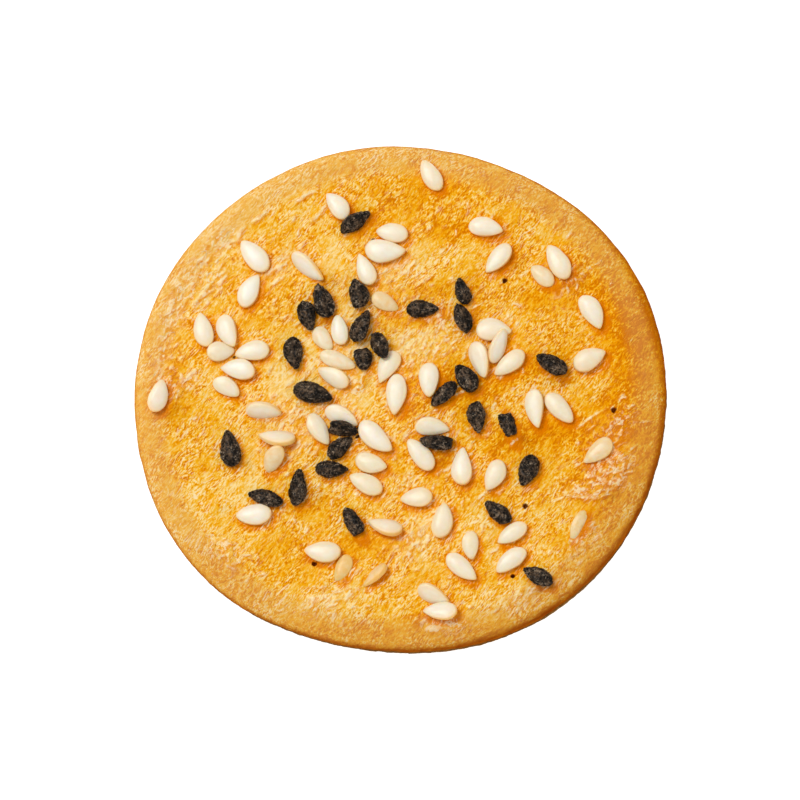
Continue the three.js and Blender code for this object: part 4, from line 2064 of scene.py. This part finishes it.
@dataclass
class BlackSeeds(SesameSeeds):
    """The unhulled seeds: sharper, pitted like a net, with a raised margin."""

    rows: int = 44
    columns: int = 56
    thickness: float = 0.52
    netting: float = 0.08
    lumpiness: float = 0.07
    blunt_taper: float = 0.3
    keel_rise: float = 0.13
    keel_furrow: float = 0.07
    cup_depth: float = 0.16
    raggedness: float = 0.05
    cuts: int = 7
    draw: random.Random = field(default_factory=lambda: random.Random(23))

    NAME: ClassVar[str] = "black_sesame_seeds"
    SLOT: ClassVar[str] = "black_sesame"
    ATTRIBUTES: ClassVar[tuple[str, ...]] = ("shade", "ridge")

    def shape(self, verts: bmesh.types.BMVertSeq, seed: Seed) -> None:
        """Shapes one seed from a ball.

        Args:
            verts: The ball's points.
            seed: The seed's sizes and its look.
        """
        draw = self.draw
        taper, neck = draw.uniform(0.5, 0.78), draw.uniform(1.5, 2.6)
        if seed.look is Look.BLUNT:
            taper = self.blunt_taper
        thick = self.thick(seed)
        hull = Hull(taper, neck, 0.12, 0.85, draw.uniform(-0.08, 0.08) * seed.width)
        seat = self.seat()
        cuts = [self.cut() for _ in range(self.cuts)]
        half = (seed.length / 2 - self.netting, seed.width / 2 - self.netting, thick / 2)
        for vert in verts:
            for across, reach in cuts:
                vert.co -= across * max(vert.co.dot(across) - reach, 0.0) * 0.85
            tipward, side, rise = vert.co
            flank = rise / max(math.hypot(side, rise), 0.01)
            margin = hump(abs(flank) - 0.12, 0.16)
            lump = 1.0 + self.lumpiness * noise.noise(vert.co * 1.5 + seat)
            place = hull.place(vert.co, lump, half)
            nearest, second = noise.voronoi(place * 3.4 + seat)[0][:2]
            net = 1.0 - ease(0.03, 0.26, second - nearest)
            keel = hump(side, 0.12) * ease(1.0, 0.5, abs(tipward))
            relief = self.netting * (net + 0.5 * margin)
            if seed.look is Look.RIDGED:
                relief += self.keel_rise * keel - self.keel_furrow * hump(abs(side) - 0.3, 0.16)
            if seed.look is Look.CUPPED and rise > 0.0:
                relief -= self.cup_depth * ease(0.75, 0.45, math.hypot(side, tipward * 0.7))
            outward = Vector((tipward * 0.4, side, rise * 1.6)).normalized()
            place += outward * relief
            ragged = self.raggedness * noise.noise(place * 2.0)
            if seed.look is Look.BROKEN:
                place.x = min(place.x, seed.length * (0.2 + ragged))
            if seed.look in (Look.BROKEN, Look.BLUNT):
                place.x = max(place.x, seed.length * (ragged - 0.32))
            vert.co = place
            vert[self.layers["shade"]] = seed.shade
            vert[self.layers["ridge"]] = min(net * 0.6 + margin * 0.3 + keel * 0.5, 1.0)

    def cut(self) -> tuple[Vector, float]:
        """Draws one flat that the seed dried to.

        Returns:
            Its direction, and how far out it lies, from 0 to 1.
        """
        draw = self.draw
        across = Vector((draw.uniform(-0.9, 0.7), draw.uniform(-1.0, 1.0), draw.uniform(-0.5, 1.0)))
        return across.normalized(), draw.uniform(0.8, 0.94)

    def finish(self) -> BlackSeedFinish:
        """Returns the black seeds' finish."""
        return BlackSeedFinish()


# ---------------------------------------------------------------- studio

@dataclass
class Studio:
    """The floor, the lights and the camera, in millimetres.

    `azimuth` and `elevation` say where the camera stands, in degrees: 0
    is at -Y and 90 at +X. `aim_right` and `aim_up` move its aim off the origin
    in its own view, and `view_width` is what it sees at the top's height. The
    room is as bright as `room_level` round about and `sky_level` overhead.
    """

    azimuth: float = 25.0
    elevation: float = 79.0
    distance: float = 2000.0
    view_width: float = 75.68
    view_height: float = 4.5
    aim_right: float = -0.3
    aim_up: float = 0.46
    floor_size: float = 6000.0
    floor_glow: float = 0.95
    sensor: float = 36.0
    room_colour: Colour = (1.0, 0.985, 0.95)
    room_level: float = 0.48
    sky_level: float = 0.71
    sky_start: float = 0.3
    sky_full: float = 0.8
    lamp_place: tuple[float, float, float] = (-355.0, 284.0, 890.0)
    lamp_size: float = 320.0
    lamp_watts: float = 4.3

    def build(self) -> None:
        """Sets the whole studio up."""
        self.lay_floor()
        self.light()
        self.stand_camera()
        bpy.context.scene.view_settings.view_transform = "Standard"

    def lay_floor(self) -> None:
        """Lays a plain white floor under the base."""
        bm = bmesh.new()
        bmesh.ops.create_grid(bm, size=self.floor_size / 2 * MILLIMETRE)
        mesh = take_mesh(bm, "floor")
        desk = NodeDesk("white_floor")
        mesh.materials.append(desk.dress(
            Base_Color=tone(200, 200, 200),
            Roughness=0.9,
            Specular_IOR_Level=0.0,
            Emission_Color=(1.0, 1.0, 1.0),
            Emission_Strength=self.floor_glow,
        ))
        floor = put("floor", mesh)

    def light(self) -> None:
        """Lights the biscuit with a soft key lamp in a bright room."""
        world = bpy.data.worlds.new("studio_room")
        bpy.context.scene.world = world
        world.use_nodes = True
        tree = world.node_tree
        way = tree.nodes.new("ShaderNodeTexCoord")
        split = tree.nodes.new("ShaderNodeSeparateXYZ")
        fade = tree.nodes.new("ShaderNodeMapRange")
        room = tree.nodes["Background"]
        room.inputs["Color"].default_value = (*self.room_colour, 1.0)
        limits = {
            "From Min": self.sky_start,
            "From Max": self.sky_full,
            "To Min": self.room_level,
            "To Max": self.sky_level,
        }
        for name, limit in limits.items():
            fade.inputs[name].default_value = limit
        tree.links.new(way.outputs["Generated"], split.inputs["Vector"])
        tree.links.new(split.outputs["Z"], fade.inputs["Value"])
        tree.links.new(fade.outputs["Result"], room.inputs["Strength"])
        self.hang_lamp()

    def hang_lamp(self) -> None:
        """Hangs the soft square key lamp, which faces the biscuit."""
        place = Vector(self.lamp_place)
        lamp = bpy.data.lights.new("key", "AREA")
        lamp.size = self.lamp_size * MILLIMETRE
        lamp.energy = self.lamp_watts
        piece = put("key", lamp)
        piece.location = place * MILLIMETRE
        piece.rotation_euler = place.to_track_quat("Z", "Y").to_euler()

    def stand_camera(self) -> None:
        """Stands the camera over the biscuit, with a long lens."""
        azimuth, elevation = math.radians(self.azimuth), math.radians(self.elevation)
        back = Vector((
            math.cos(elevation) * math.sin(azimuth),
            -math.cos(elevation) * math.cos(azimuth),
            math.sin(elevation),
        ))
        right = Vector((back.z, 0.0, -back.x)).normalized()
        up = back.cross(right)
        camera = bpy.data.cameras.new("camera")
        camera.sensor_width = self.sensor
        camera.lens = self.sensor * self.distance / self.view_width
        camera.clip_start = 0.02
        camera.clip_end = 20.0
        piece = put("camera", camera)
        away = self.distance + self.view_height
        place = right * self.aim_right + up * self.aim_up + back * away
        turn = Matrix((right, up, back)).transposed().to_4x4()
        piece.matrix_world = Matrix.Translation(place * MILLIMETRE) @ turn
        bpy.context.scene.camera = piece


def main() -> None:
    """Builds the biscuit's pieces in order, and then the studio round them."""
    form = BiscuitForm()
    form.centre_on(*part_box("biscuit"))
    pieces = [BakedDough(form).build()]
    glaze, surface = EggGlaze(form, seeds=(*WHITE_SEEDS, *BLACK_SEEDS)).build()
    pieces.append(glaze)
    bed = SeedBed(surface)
    pieces += [WhiteSeeds(WHITE_SEEDS, bed).build(), BlackSeeds(BLACK_SEEDS, bed).build()]
    Studio().build()
    for piece in pieces:
        log.info("%s: %.1f x %.1f x %.1f mm", piece.name, *(piece.dimensions / MILLIMETRE))


if __name__ == "__main__":
    logging.basicConfig(level=logging.INFO, format="%(name)s: %(message)s")
    main()
